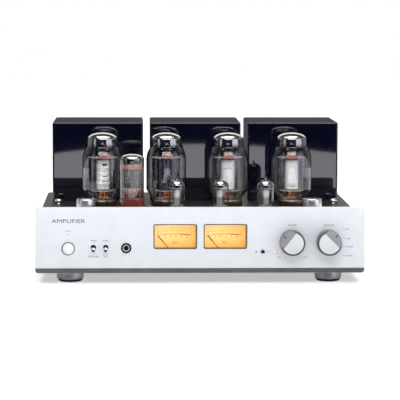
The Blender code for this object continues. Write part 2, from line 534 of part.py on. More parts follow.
# ------------------------------------------------------------------ meters
LIP_W, LIP_H = METER_W - 2 * GAP, METER_H - 2 * GAP
LIP_T = 1.1
DIAL_Y = 13.0
for tag, sx in (("left", -1), ("right", 1)):
    mx = sx * METER_X
    bm = bmesh.new()
    add_box(bm, (mx - 31.0, PANEL_T + GAP, 31.5), (mx + 31.0, 33.0, 81.6))
    case = put("meter_case_" + tag, bm, PLASTIC)
    bm = bmesh.new()
    add_box(bm, (mx - LIP_W / 2, 0.6, METER_Z - LIP_H / 2), (mx + LIP_W / 2, 10.0, METER_Z + LIP_H / 2))
    bevel_edges(bm, along('Y'), 2.5, 3)
    boolean(case, put("add_lip_" + tag, bm, None, hidden=True), 'UNION')
    bm = bmesh.new()
    add_box(bm, (mx - LIP_W / 2 + LIP_T, -5.0, METER_Z - LIP_H / 2 + LIP_T),
            (mx + LIP_W / 2 - LIP_T, DIAL_Y, METER_Z + LIP_H / 2 - LIP_T))
    bevel_edges(bm, along('Y'), 1.6, 2)
    boolean(case, put("cut_window_" + tag, bm, None, hidden=True))
    bm = bmesh.new()
    add_box(bm, (mx - 27.0, PANEL_T - 2.0, 33.4), (mx + 27.0, DIAL_Y, 48.0))
    pivot_pocket = put("cut_pivot_pocket_" + tag, bm, None, hidden=True)
    # the pocket stays behind the lip, so its front part is trimmed by a box
    bm2 = bmesh.new()
    add_box(bm2, (mx - 40.0, PANEL_T - 12.0, 20.0), (mx + 40.0, PANEL_T + GAP - 0.001, METER_Z - LIP_H / 2 + LIP_T))
    trim = put("trim_pocket_" + tag, bm2, None, hidden=True)
    boolean(pivot_pocket, trim)
    boolean(case, pivot_pocket)
    bm = bmesh.new()
    add_cyl(bm, (mx, DIAL_Y - 1.4, METER_PIVOT_Z), 'Y', 0.75, 4.0, 10)
    boolean(case, put("add_pivot_peg_" + tag, bm, None, hidden=True), 'UNION')

    bm = bmesh.new()
    in_w, in_h = LIP_W / 2 - LIP_T - 0.25, LIP_H / 2 - LIP_T - 0.25
    add_box(bm, (mx - in_w, 1.2, METER_Z - in_h), (mx + in_w, 2.7, METER_Z + in_h))
    bevel_edges(bm, along('Y'), 1.4, 2)
    put("meter_window_" + tag, bm, ACRYL)

    # needle: hub ring on the peg and a tapering blade, resting at the left stop
    hub_y = DIAL_Y - 2.3
    origin = at(mx, hub_y, METER_PIVOT_Z)
    bm = bmesh.new()
    add_cyl(bm, (mx, hub_y, METER_PIVOT_Z), 'Y', 2.6, 1.0, 14, origin=origin)
    needle = put("meter_needle_" + tag, bm, NEEDLE, origin, (0.0, math.radians(-NEEDLE_REST), 0.0))
    bm = bmesh.new()
    bmesh.ops.create_cone(bm, cap_ends=True, segments=4, radius1=0.55 * MM, radius2=0.32 * MM,
                          depth=(NEEDLE_LEN - 1.6) * MM,
                          matrix=Matrix.Translation((0, 0, (NEEDLE_LEN + 1.6) / 2 * MM)) @ Matrix.Rotation(math.radians(45.0), 4, 'Z'))
    blade = put("add_blade_" + tag, bm, None, origin, (0.0, math.radians(-NEEDLE_REST), 0.0), hidden=True)
    boolean(needle, blade, 'UNION')
    bm = bmesh.new()
    add_cyl(bm, (mx, hub_y, METER_PIVOT_Z), 'Y', 1.1, 6.0, 10)
    boolean(needle, put("cut_hub_" + tag, bm, None, hidden=True))

# --------------------------------------------------------- remote receiver
bm = bmesh.new()
add_box(bm, (IR_X - 7.5, 12.0, MUTE_Z - 8.0), (MUTE_X + 5.0, 13.6, MUTE_Z + 8.0))
receiver = put("remote_receiver", bm, PCB)
bm = bmesh.new()
add_cyl(bm, (IR_X, 6.8, IR_Z), 'Y', 3.0, 12.0, 16)
add_cyl(bm, (MUTE_X, 6.6, MUTE_Z), 'Y', 1.9, 12.6, 12)
boolean(receiver, put("add_eye_and_led", bm, None, hidden=True), 'UNION')
turned_eye = turned("add_eye_dome", [(0.0, 1.9), (1.4, 1.6), (2.4, 0.7), (2.9, -0.9), (2.9, -2.6), (0.0, -2.6)], None,
                    at(IR_X, 0, IR_Z), FRONT, segs=16, hidden=True)
boolean(receiver, turned_eye, 'UNION')

# --------------------------------------------------------------- IEC inlet
bm = bmesh.new()
add_box(bm, (INLET_X - 25.0, CHASSIS_Y1 + GAP, REAR_Z - 12.8), (INLET_X + 25.0, CHASSIS_Y1 + 3.3, REAR_Z + 12.8))
bevel_edges(bm, along('Y'), 3.0, 2)
inlet = put("iec_inlet", bm, PLASTIC)
bm = bmesh.new()
add_box(bm, (INLET_X - 13.9, CHASSIS_Y1 - 19.0, REAR_Z - 10.4), (INLET_X + 13.9, CHASSIS_Y1 + 1.5, REAR_Z + 10.4))
boolean(inlet, put("add_inlet_body", bm, None, hidden=True), 'UNION')
bm = bmesh.new()
add_box(bm, (INLET_X - 12.2, CHASSIS_Y1 - 14.0, REAR_Z - 8.2), (INLET_X + 12.2, CHASSIS_Y1 + 9.0, REAR_Z + 8.2))
boolean(inlet, put("cut_inlet_cavity", bm, None, hidden=True))
bm = bmesh.new()
for dx, dz in ((-7.0, -2.0), (0.0, 2.0), (7.0, -2.0)):
    add_box(bm, (INLET_X + dx - 1.0, CHASSIS_Y1 - 15.5, REAR_Z + dz - 2.0), (INLET_X + dx + 1.0, CHASSIS_Y1 - 4.5, REAR_Z + dz + 2.0))
boolean(inlet, put("add_inlet_blades", bm, None, hidden=True), 'UNION')

# -------------------------------------------------- speaker terminal strip
bm = bmesh.new()
add_box(bm, (-94, CHASSIS_Y1 + GAP, REAR_Z - 13), (94, CHASSIS_Y1 + 3.3, REAR_Z + 13))
strip = put("speaker_terminal_strip", bm, PLASTIC)
bm = bmesh.new()
for x in POST_X:
    add_cyl(bm, (x, (336.0 + 352.0) / 2, REAR_Z), 'Y', 2.6, 16.0, 6)
boolean(strip, put("add_studs", bm, None, hidden=True), 'UNION')
for i, x in enumerate(POST_X):
    post = turned("add_post_%d" % (i + 1),
                  [(0.0, 14.0), (1.8, 14.0), (1.8, 20.0), (6.2, 20.0), (6.6, 8.6), (5.0, 8.0), (5.0, 2.0), (0.0, 2.0)],
                  None, at(x, CHASSIS_Y1, REAR_Z), REAR, segs=8, hidden=True)
    boolean(strip, post, 'UNION')

# -------------------------------------------------------- input jack strip
bm = bmesh.new()
add_box(bm, (RCA_X[0] - 11, CHASSIS_Y1 + GAP, RCA_Z[0] - 11), (RCA_X[-1] + 11, CHASSIS_Y1 + 2.8, RCA_Z[1] + 11))
jacks = put("input_jack_strip", bm, PLASTIC)
bm = bmesh.new()
for x in RCA_X:
    for z in RCA_Z:
        add_cyl(bm, (x, (338.0 + 356.0) / 2, z), 'Y', 3.3, 18.0, 6)
boolean(jacks, put("add_barrels", bm, None, hidden=True), 'UNION')
bm = bmesh.new()
for x in RCA_X:
    for z in RCA_Z:
        add_cyl(bm, (x, CHASSIS_Y1 + 4.0, z), 'Y', 5.0, 3.4, 8)
boolean(jacks, put("add_collars", bm, None, hidden=True), 'UNION')
bm = bmesh.new()
for x in RCA_X:
    for z in RCA_Z:
        add_cyl(bm, (x, 354.0, z), 'Y', 1.7, 12.0, 5)
boolean(jacks, put("cut_pin_sockets", bm, None, hidden=True))
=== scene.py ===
import json
import math
import random

import bmesh
import bpy
from mathutils import Matrix, Vector


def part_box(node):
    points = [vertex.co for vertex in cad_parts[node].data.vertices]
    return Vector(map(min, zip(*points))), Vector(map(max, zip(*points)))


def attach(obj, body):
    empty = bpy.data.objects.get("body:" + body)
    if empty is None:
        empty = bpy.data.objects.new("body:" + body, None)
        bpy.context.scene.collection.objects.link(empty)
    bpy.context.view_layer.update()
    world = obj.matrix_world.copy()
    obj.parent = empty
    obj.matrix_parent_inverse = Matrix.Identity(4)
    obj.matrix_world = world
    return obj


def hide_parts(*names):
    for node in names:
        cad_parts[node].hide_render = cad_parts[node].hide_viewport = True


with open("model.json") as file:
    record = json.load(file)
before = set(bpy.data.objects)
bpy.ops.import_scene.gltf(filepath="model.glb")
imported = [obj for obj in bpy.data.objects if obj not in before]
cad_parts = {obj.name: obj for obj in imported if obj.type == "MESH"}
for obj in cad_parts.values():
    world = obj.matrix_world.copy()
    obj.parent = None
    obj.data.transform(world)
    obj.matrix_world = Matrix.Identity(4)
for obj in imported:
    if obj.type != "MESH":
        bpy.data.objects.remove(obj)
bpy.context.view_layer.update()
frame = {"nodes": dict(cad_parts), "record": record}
NODES = frame["nodes"]
scene = bpy.context.scene
random.seed(11)

MM = 0.001
PANEL_LO, PANEL_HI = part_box("front_panel")
Y0 = PANEL_LO.y                      # the panel's front face, metres


def at(x, y, z):
    """Millimetres from the panel front and the floor, as a point in the frame."""
    return Vector((x * MM, Y0 + y * MM, z * MM))


def mid(node):
    """Centre of a CAD node in the panel's millimetres."""
    lo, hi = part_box(node)
    c = (lo + hi) / 2
    return c.x / MM, (c.y - Y0) / MM, c.z / MM


def top_mm(node):
    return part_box(node)[1].z / MM


# ------------------------------------------------------------------ materials
def new_mat(name):
    m = bpy.data.materials.new(name)
    m.use_nodes = True
    return m, m.node_tree, m.node_tree.nodes["Principled BSDF"]


def obj_co(nt):
    return nt.nodes.new("ShaderNodeTexCoord").outputs["Object"]


def scaled(nt, vec, sx, sy, sz):
    n = nt.nodes.new("ShaderNodeVectorMath")
    n.operation = 'MULTIPLY'
    nt.links.new(vec, n.inputs[0])
    n.inputs[1].default_value = (sx, sy, sz)
    return n.outputs[0]


def noise(nt, vec, scale, detail=3.0, rough=0.5):
    n = nt.nodes.new("ShaderNodeTexNoise")
    nt.links.new(vec, n.inputs["Vector"])
    n.inputs["Scale"].default_value = scale
    n.inputs["Detail"].default_value = detail
    n.inputs["Roughness"].default_value = rough
    return n.outputs["Fac"]


def voronoi(nt, vec, scale):
    n = nt.nodes.new("ShaderNodeTexVoronoi")
    nt.links.new(vec, n.inputs["Vector"])
    n.inputs["Scale"].default_value = scale
    return n.outputs["Distance"]


def span(nt, v, a, b, c, d):
    n = nt.nodes.new("ShaderNodeMapRange")
    nt.links.new(v, n.inputs["Value"])
    for k, x in zip(("From Min", "From Max", "To Min", "To Max"), (a, b, c, d)):
        n.inputs[k].default_value = x
    return n.outputs["Result"]


def math_node(nt, op, a, b=None, clamp=False):
    n = nt.nodes.new("ShaderNodeMath")
    n.operation = op
    n.use_clamp = clamp
    for i, v in enumerate((a, b)):
        if v is None:
            continue
        if isinstance(v, (int, float)):
            n.inputs[i].default_value = v
        else:
            nt.links.new(v, n.inputs[i])
    return n.outputs[0]


def ramp(nt, fac, stops, mode='LINEAR'):
    n = nt.nodes.new("ShaderNodeValToRGB")
    n.color_ramp.interpolation = mode
    els = n.color_ramp.elements
    while len(els) > 1:
        els.remove(els[-1])
    els[0].position = stops[0][0]
    els[0].color = (*stops[0][1], 1.0)
    for p, c in stops[1:]:
        e = els.new(p)
        e.color = (*c, 1.0)
    nt.links.new(fac, n.inputs["Fac"])
    return n.outputs["Color"]


def bump(nt, b, height, strength, distance):
    n = nt.nodes.new("ShaderNodeBump")
    n.inputs["Strength"].default_value = strength
    n.inputs["Distance"].default_value = distance
    nt.links.new(height, n.inputs["Height"])
    nt.links.new(n.outputs["Normal"], b.inputs["Normal"])


def two_tone(nt, b, fac, dark, light):
    nt.links.new(ramp(nt, fac, [(0.3, dark), (0.7, light)]), b.inputs["Base Color"])


def metal(name, dark, light, r0, r1, grain=900.0, stretch=(1, 1, 1), height=0.00001, strength=0.25, metallic=1.0):
    """Metal with grain: two close tones, uneven roughness and a fine bump."""
    m, nt, b = new_mat(name)
    co = scaled(nt, obj_co(nt), *stretch)
    n1 = noise(nt, co, grain, 4.0, 0.6)
    n2 = noise(nt, obj_co(nt), 38.0, 2.0)
    two_tone(nt, b, n2, dark, light)
    nt.links.new(span(nt, n1, 0.25, 0.75, r0, r1), b.inputs["Roughness"])
    b.inputs["Metallic"].default_value = metallic
    bump(nt, b, n1, strength, height)
    return m


def spun(name, dark, light, r0, r1, pitch=5200.0, axis='Z', strength=0.35, metallic=1.0):
    """Turned metal: fine rings round one local axis, from lathe work."""
    m, nt, b = new_mat(name)
    co = obj_co(nt)
    sep = nt.nodes.new("ShaderNodeSeparateXYZ")
    nt.links.new(co, sep.inputs[0])
    i, j = {'Z': (0, 1), 'Y': (0, 2)}[axis]
    rr = math_node(nt, 'SQRT', math_node(nt, 'ADD', math_node(nt, 'POWER', sep.outputs[i], 2.0), math_node(nt, 'POWER', sep.outputs[j], 2.0)))
    comb = nt.nodes.new("ShaderNodeCombineXYZ")
    nt.links.new(math_node(nt, 'MULTIPLY', rr, pitch), comb.inputs[0])
    nt.links.new(math_node(nt, 'MULTIPLY', sep.outputs[{'Z': 2, 'Y': 1}[axis]], pitch), comb.inputs[1])
    n1 = noise(nt, comb.outputs[0], 1.0, 2.0, 0.7)
    n2 = noise(nt, co, 45.0, 2.0)
    two_tone(nt, b, n2, dark, light)
    nt.links.new(span(nt, n1, 0.2, 0.8, r0, r1), b.inputs["Roughness"])
    b.inputs["Metallic"].default_value = metallic
    b.inputs["Anisotropic"].default_value = 0.4
    bump(nt, b, n1, strength, 0.000012)
    return m


def moulded(name, dark, light, r0, r1, grain=1400.0, height=0.00004, strength=0.3, coat=0.0):
    m, nt, b = new_mat(name)
    co = obj_co(nt)
    n1 = noise(nt, co, grain, 3.0, 0.6)
    n2 = noise(nt, co, 60.0, 3.0)
    two_tone(nt, b, n2, dark, light)
    nt.links.new(span(nt, n1, 0.3, 0.7, r0, r1), b.inputs["Roughness"])
    if coat:
        b.inputs["Coat Weight"].default_value = coat
        b.inputs["Coat Roughness"].default_value = 0.05
    bump(nt, b, n1, strength, height)
    return m


ALU = metal("satin_aluminium", (0.815, 0.837, 0.858), (0.855, 0.877, 0.898), 0.42, 0.52, grain=2600.0, height=0.00002, strength=0.35, metallic=0.35)
# painted shade: a dark grey copy of the panel aluminium for the downward lower chamfer, standing in for the shade it
# faces
ALU_CHAMFER_PAINTED_SHADE = metal("chamfer_aluminium_painted_shade", (0.140, 0.148, 0.149), (0.172, 0.178, 0.178), 0.34, 0.46, grain=700.0, stretch=(0.05, 1, 1), metallic=0.35)
KNOB_FACE = spun("spun_knob_face", (0.73, 0.74, 0.755), (0.81, 0.82, 0.835), 0.34, 0.44, metallic=0.35)
# painted shade: a near-black copy of the knob metal for the rim, so its top reads dark
KNOB_RIM_PAINTED_SHADE = spun("turned_knob_rim_painted_shade", (0.085, 0.085, 0.09), (0.12, 0.12, 0.125), 0.26, 0.36, pitch=2600.0, metallic=0.35)
CAP_METAL = spun("turned_bright_cap", (0.74, 0.74, 0.75), (0.82, 0.82, 0.83), 0.20, 0.30, pitch=2200.0, metallic=0.9)
JACK_LIP = metal("bright_jack_lip", (0.66, 0.66, 0.67), (0.74, 0.74, 0.75), 0.22, 0.32, grain=900.0, strength=0.06, metallic=0.45)
# painted shade: a near-black copy of the knob metal for the low side wall of each knob
KNOB_WALL_PAINTED_SHADE = spun("knob_wall_painted_shade", (0.050, 0.050, 0.054), (0.075, 0.075, 0.080), 0.20, 0.30, pitch=2600.0)
# painted shade: the tilted facet gets a darker grey than the face, for the shade its tilt gets
KNOB_FACET_PAINTED_SHADE = metal("knob_facet_painted_shade", (0.28, 0.285, 0.29), (0.33, 0.335, 0.34), 0.36, 0.46, grain=1800.0, stretch=(1, 0.2, 1), metallic=0.35)
CHROME = metal("polished_chrome", (0.80, 0.80, 0.81), (0.84, 0.84, 0.85), 0.03, 0.07, grain=300.0, strength=0.04)
BUTTON = spun("button_silver", (0.86, 0.86, 0.87), (0.92, 0.92, 0.93), 0.30, 0.40, pitch=3800.0, metallic=0.25)
FOOT = spun("turned_grey_foot", (0.40, 0.40, 0.405), (0.48, 0.48, 0.485), 0.26, 0.36, pitch=3000.0, metallic=0.5)
STEELB = metal("bright_steel", (0.55, 0.55, 0.56), (0.64, 0.64, 0.65), 0.22, 0.34, grain=900.0)
GOLD = metal("gold_plate", (0.86, 0.62, 0.26), (0.95, 0.72, 0.33), 0.14, 0.24, grain=700.0, strength=0.1)
GOLD_RING = metal("gold_ring", (0.36, 0.26, 0.12), (0.46, 0.34, 0.17), 0.20, 0.32, grain=700.0, strength=0.1)
COPPER = metal("copper_wire", (0.46, 0.14, 0.07), (0.62, 0.22, 0.12), 0.20, 0.34, grain=900.0, strength=0.1)
NICKEL = metal("nickel_wire", (0.32, 0.30, 0.285), (0.42, 0.40, 0.38), 0.20, 0.34, grain=900.0, strength=0.1)
RUBBER = moulded("black_rubber", (0.012, 0.012, 0.012), (0.02, 0.02, 0.02), 0.6, 0.75, grain=1800.0)
PLASTIC = moulded("black_moulding", (0.010, 0.010, 0.011), (0.018, 0.018, 0.019), 0.34, 0.50)
GLOSS_BLACK = moulded("gloss_black", (0.006, 0.006, 0.007), (0.010, 0.010, 0.011), 0.10, 0.18, grain=500.0, height=0.00001, strength=0.1)
RED_CAP = moulded("red_cap", (0.42, 0.012, 0.010), (0.52, 0.02, 0.015), 0.22, 0.34, grain=900.0)
WHITE_CAP = moulded("white_insulator", (0.62, 0.61, 0.58), (0.72, 0.71, 0.68), 0.3, 0.42)
BEZEL = moulded("brown_grey_frame", (0.105, 0.085, 0.070), (0.145, 0.120, 0.098), 0.30, 0.42, grain=900.0)
BAKELITE = moulded("brown_bakelite", (0.030, 0.010, 0.006), (0.060, 0.020, 0.012), 0.14, 0.24, grain=160.0, strength=0.06, coat=0.4)
RED_BASE = moulded("red_brown_bakelite", (0.17, 0.030, 0.019), (0.26, 0.052, 0.032), 0.14, 0.24, grain=160.0, strength=0.06, coat=0.6)
INK = moulded("dark_print", (0.016, 0.017, 0.020), (0.024, 0.025, 0.030), 0.5, 0.6, grain=2500.0, strength=0.1)
INK_PALE = moulded("grey_print", (0.20, 0.205, 0.22), (0.25, 0.255, 0.27), 0.5, 0.6, grain=2500.0, strength=0.1)
DIAL_INK = moulded("dial_print", (0.24, 0.070, 0.008), (0.30, 0.095, 0.012), 0.5, 0.6, grain=2500.0, strength=0.1)
MUTE_RING = moulded("amber_light_ring", (0.62, 0.22, 0.08), (0.72, 0.29, 0.12), 0.25, 0.35, grain=900.0)
DIAL_RED = moulded("dial_red_print", (0.34, 0.048, 0.008), (0.42, 0.062, 0.010), 0.5, 0.6, grain=2500.0, strength=0.1)
NEEDLE = moulded("needle_lacquer", (0.060, 0.016, 0.004), (0.090, 0.026, 0.006), 0.35, 0.5, grain=900.0)


def powder_coat():
    m, nt, b = new_mat("dark_powder_coat")
    co = obj_co(nt)
    n1 = noise(nt, co, 1500.0, 4.0, 0.65)
    n2 = noise(nt, co, 14.0, 3.0)
    two_tone(nt, b, n2, (0.0055, 0.0057, 0.0064), (0.0085, 0.0088, 0.0096))
    nt.links.new(span(nt, n1, 0.3, 0.7, 0.34, 0.48), b.inputs["Roughness"])
    bump(nt, b, n1, 0.3, 0.00006)
    return m


def lacquer():
    """Deep gloss black over steel, with a trace of orange peel."""
    m, nt, b = new_mat("black_mirror_lacquer")
    co = obj_co(nt)
    n1 = noise(nt, co, 55.0, 2.0)
    n2 = noise(nt, co, 420.0, 3.0)
    two_tone(nt, b, n1, (0.0012, 0.0018, 0.0085), (0.0018, 0.0026, 0.0105))
    b.inputs["IOR"].default_value = 1.52
    nt.links.new(span(nt, n2, 0.3, 0.75, 0.018, 0.04), b.inputs["Roughness"])
    bump(nt, b, n1, 0.05, 0.00002)
    return m


def clear_glass(name, tint, ior=1.47, rough=0.0):
    """Blown glass. Light from lamps passes straight in, so the inside is lit."""
    m, nt, b = new_mat(name)
    b.inputs["Base Color"].default_value = (*tint, 1.0)
    b.inputs["Transmission Weight"].default_value = 1.0
    b.inputs["IOR"].default_value = ior
    co = obj_co(nt)
    n = noise(nt, co, 26.0, 2.0)
    nt.links.new(span(nt, n, 0.3, 0.8, rough, rough + 0.012), b.inputs["Roughness"])
    bump(nt, b, n, 0.05, 0.0001)
    clear = nt.nodes.new("ShaderNodeBsdfTransparent")
    clear.inputs["Color"].default_value = (0.94, 0.95, 0.95, 1.0)
    path = nt.nodes.new("ShaderNodeLightPath")
    mix = nt.nodes.new("ShaderNodeMixShader")
    out = nt.nodes["Material Output"]
    nt.links.new(path.outputs["Is Shadow Ray"], mix.inputs[0])
    nt.links.new(b.outputs[0], mix.inputs[1])
    nt.links.new(clear.outputs[0], mix.inputs[2])
    nt.links.new(mix.outputs[0], out.inputs["Surface"])
    return m


def getter_mirror(z_edge, z_top):
    """Flashed getter metal inside the dome: silver, browning at its lower edge."""
    m, nt, b = new_mat("getter_mirror_%d" % z_top)
    co = obj_co(nt)
    sep = nt.nodes.new("ShaderNodeSeparateXYZ")
    nt.links.new(co, sep.inputs[0])
    wob = math_node(nt, 'MULTIPLY_ADD', noise(nt, co, 90.0, 3.0), 0.0016)
    wob.node.inputs[2].default_value = -0.0008
    z = math_node(nt, 'ADD', sep.outputs[2], wob)
    f = span(nt, z, z_edge * MM, (z_edge + 5.0) * MM, 0.0, 1.0)
    nt.links.new(ramp(nt, f, [(0.0, (0.08, 0.052, 0.036)), (0.22, (0.20, 0.17, 0.145)), (0.6, (0.38, 0.37, 0.35)), (1.0, (0.46, 0.455, 0.44))]), b.inputs["Base Color"])
    b.inputs["Metallic"].default_value = 1.0
    nt.links.new(span(nt, noise(nt, co, 160.0, 3.0), 0.3, 0.7, 0.02, 0.07), b.inputs["Roughness"])
    return m


def anode_grey(name, dark, light, r0=0.30, r1=0.48, metallic=0.9):
    m, nt, b = new_mat(name)
    co = obj_co(nt)
    n1 = noise(nt, scaled(nt, co, 1, 1, 0.3), 700.0, 4.0, 0.65)
    n2 = noise(nt, co, 55.0, 3.0)
    two_tone(nt, b, n2, dark, light)
    b.inputs["Metallic"].default_value = metallic
    nt.links.new(span(nt, n1, 0.25, 0.75, r0, r1), b.inputs["Roughness"])
    bump(nt, b, n1, 0.3, 0.00004)
    return m


def glow(name, rgb, strength):
    m, nt, b = new_mat(name)
    co = obj_co(nt)
    n = noise(nt, co, 500.0, 2.0)
    nt.links.new(ramp(nt, n, [(0.3, tuple(c * 0.55 for c in rgb)), (0.7, rgb)]), b.inputs["Emission Color"])
    b.inputs["Emission Strength"].default_value = strength
    b.inputs["Base Color"].default_value = (0.25, 0.06, 0.02, 1.0)
    b.inputs["Roughness"].default_value = 0.5
    return m


def mica_mat():
    m, nt, b = new_mat("mica")
    co = obj_co(nt)
    n = noise(nt, co, 240.0, 4.0)
    two_tone(nt, b, n, (0.42, 0.33, 0.28), (0.66, 0.55, 0.48))
    nt.links.new(span(nt, n, 0.3, 0.7, 0.16, 0.34), b.inputs["Roughness"])
    b.inputs["Coat Weight"].default_value = 0.5
    return m


def board_mat():
    m, nt, b = new_mat("green_board")
    co = obj_co(nt)
    v = voronoi(nt, scaled(nt, co, 1, 1, 0.05), 160.0)
    n = noise(nt, co, 700.0, 3.0)
    nt.links.new(ramp(nt, v, [(0.0, (0.02, 0.10, 0.05)), (0.35, (0.03, 0.14, 0.07)), (0.42, (0.07, 0.24, 0.12)), (1.0, (0.03, 0.13, 0.06))]), b.inputs["Base Color"])
    nt.links.new(span(nt, n, 0.3, 0.7, 0.32, 0.5), b.inputs["Roughness"])
    bump(nt, b, v, 0.3, 0.00006)
    return m


def laminated():
    m, nt, b = new_mat("laminated_core")
    co = obj_co(nt)
    sep = nt.nodes.new("ShaderNodeSeparateXYZ")
    nt.links.new(co, sep.inputs[0])
    w = math_node(nt, 'FRACT', math_node(nt, 'MULTIPLY', sep.outputs[1], 2000.0))
    n = noise(nt, co, 90.0, 3.0)
    two_tone(nt, b, n, (0.10, 0.095, 0.09), (0.17, 0.16, 0.15))
    b.inputs["Metallic"].default_value = 0.6
    nt.links.new(span(nt, n, 0.3, 0.7, 0.4, 0.6), b.inputs["Roughness"])
    bump(nt, b, w, 0.5, 0.0001)
    return m


def dial_mat():
    """Backlit amber dial: paler at the top left and the edges, orange lower right."""
    m, nt, b = new_mat("amber_dial")
    co = obj_co(nt)
    sep = nt.nodes.new("ShaderNodeSeparateXYZ")
    nt.links.new(co, sep.inputs[0])
    x = span(nt, sep.outputs[0], -0.028, 0.028, 0.0, 1.0)
    z = span(nt, sep.outputs[2], -0.016, 0.016, 1.0, 0.0)
    f = math_node(nt, 'ADD', math_node(nt, 'MULTIPLY', x, 0.45), math_node(nt, 'MULTIPLY', z, 0.42))
    f = math_node(nt, 'ADD', f, span(nt, noise(nt, co, 70.0, 2.0), 0.3, 0.7, -0.05, 0.05))
    col = ramp(nt, f, [(0.05, (1.0, 0.66, 0.285)), (0.40, (1.0, 0.54, 0.17)), (0.85, (1.0, 0.42, 0.088))])
    nt.links.new(col, b.inputs["Emission Color"])
    nt.links.new(col, b.inputs["Base Color"])
    b.inputs["Emission Strength"].default_value = 0.62
    nt.links.new(span(nt, noise(nt, co, 900.0, 2.0), 0.3, 0.7, 0.5, 0.65), b.inputs["Roughness"])
    return m


def window_mat():
    m, nt, b = new_mat("clear_window")
    nt.nodes.remove(b)
    clear = nt.nodes.new("ShaderNodeBsdfTransparent")
    clear.inputs["Color"].default_value = (0.99, 0.985, 0.97, 1.0)
    gloss = nt.nodes.new("ShaderNodeBsdfGlossy")
    co = obj_co(nt)
    nt.links.new(span(nt, noise(nt, co, 60.0, 2.0), 0.3, 0.7, 0.03, 0.06), gloss.inputs["Roughness"])
    fres = nt.nodes.new("ShaderNodeFresnel")
    fres.inputs["IOR"].default_value = 1.45
    # the sheet doesn't bend rays, so only its outer side may reflect
    geo = nt.nodes.new("ShaderNodeNewGeometry")
    outer = math_node(nt, 'SUBTRACT', 1.0, geo.outputs["Backfacing"])
    mix = nt.nodes.new("ShaderNodeMixShader")
    nt.links.new(math_node(nt, 'MULTIPLY', fres.outputs[0], outer), mix.inputs[0])
    nt.links.new(clear.outputs[0], mix.inputs[1])
    nt.links.new(gloss.outputs[0], mix.inputs[2])
    nt.links.new(mix.outputs[0], nt.nodes["Material Output"].inputs["Surface"])
    return m


COAT = powder_coat()
LACQUER = lacquer()
GLASS = clear_glass("bulb_glass", (0.925, 0.925, 0.922))
STEM_GLASS = clear_glass("stem_glass", (0.72, 0.62, 0.55), rough=0.08)
GETTER_BIG = getter_mirror(170.9, 189)
GETTER_OCTAL = getter_mirror(156.0, 162)
GETTER_MINI = getter_mirror(121.0, 126)
ANODE = anode_grey("grey_anode", (0.16, 0.155, 0.15), (0.25, 0.24, 0.235), 0.24, 0.40)
ANODE_PALE = anode_grey("pale_anode", (0.30, 0.30, 0.30), (0.44, 0.43, 0.42), 0.24, 0.38)
MICA = mica_mat()
HEATER = glow("heater_glow", (1.0, 0.26, 0.10), 0.55)
EMBER = glow("cathode_ember", (1.0, 0.20, 0.08), 0.14)
LED_WHITE = glow("led_lens", (1.0, 0.93, 0.88), 1.3)
LED_AMBER = glow("led_amber", (1.0, 0.36, 0.05), 1.4)
BOARD = board_mat()
CORE = laminated()
DIAL = dial_mat()
WINDOW = window_mat()


# ------------------------------------------------------------- mesh building
def spline(pts, n=6):
    """A smooth line through profile points (Catmull-Rom), n steps a span."""
    out = []
    for i in range(len(pts) - 1):
        p0 = pts[max(i - 1, 0)]
        p1, p2 = pts[i], pts[i + 1]
        p3 = pts[min(i + 2, len(pts) - 1)]
        for k in range(n):
            t = k / n
            out.append(tuple(0.5 * (2 * b + (c - a) * t + (2 * a - 5 * b + 4 * c - d) * t * t + (3 * b - a - 3 * c + d) * t ** 3)
                             for a, b, c, d in zip(p0, p1, p2, p3)))
    out.append(tuple(pts[-1]))
    return out


def offset(pts, t):
    """A turned profile moved inwards by t, ends kept on the axis and level."""
    out = []
    n = len(pts)
    for i, (r, z) in enumerate(pts):
        a, b = pts[max(i - 1, 0)], pts[min(i + 1, n - 1)]
        dx, dz = b[0] - a[0], b[1] - a[1]
        d = math.hypot(dx, dz) or 1.0
        nr, nz = dz / d, -dx / d          # to the right of the way down: inwards
        q = [max(r + nr * t, 0.0), z + nz * t]
        if r < 1e-6:
            q = [0.0, z - t]
        out.append(tuple(q))
    return out


def elliptic(a, b, cz, n=10):
    """Quarter ellipse from the axis down to radius a, centred at height cz."""
    return [(a * math.sin(math.pi / 2 * k / n), cz + b * math.cos(math.pi / 2 * k / n)) for k in range(n + 1)]


TO_FRONT = Matrix.Rotation(math.radians(90.0), 4, 'X')     # local +Z points out of the panel
TO_REAR = Matrix.Rotation(math.radians(-90.0), 4, 'X')     # local +Z points out of the back


def shift(x, y, z):
    return Matrix.Translation((x, y, z))


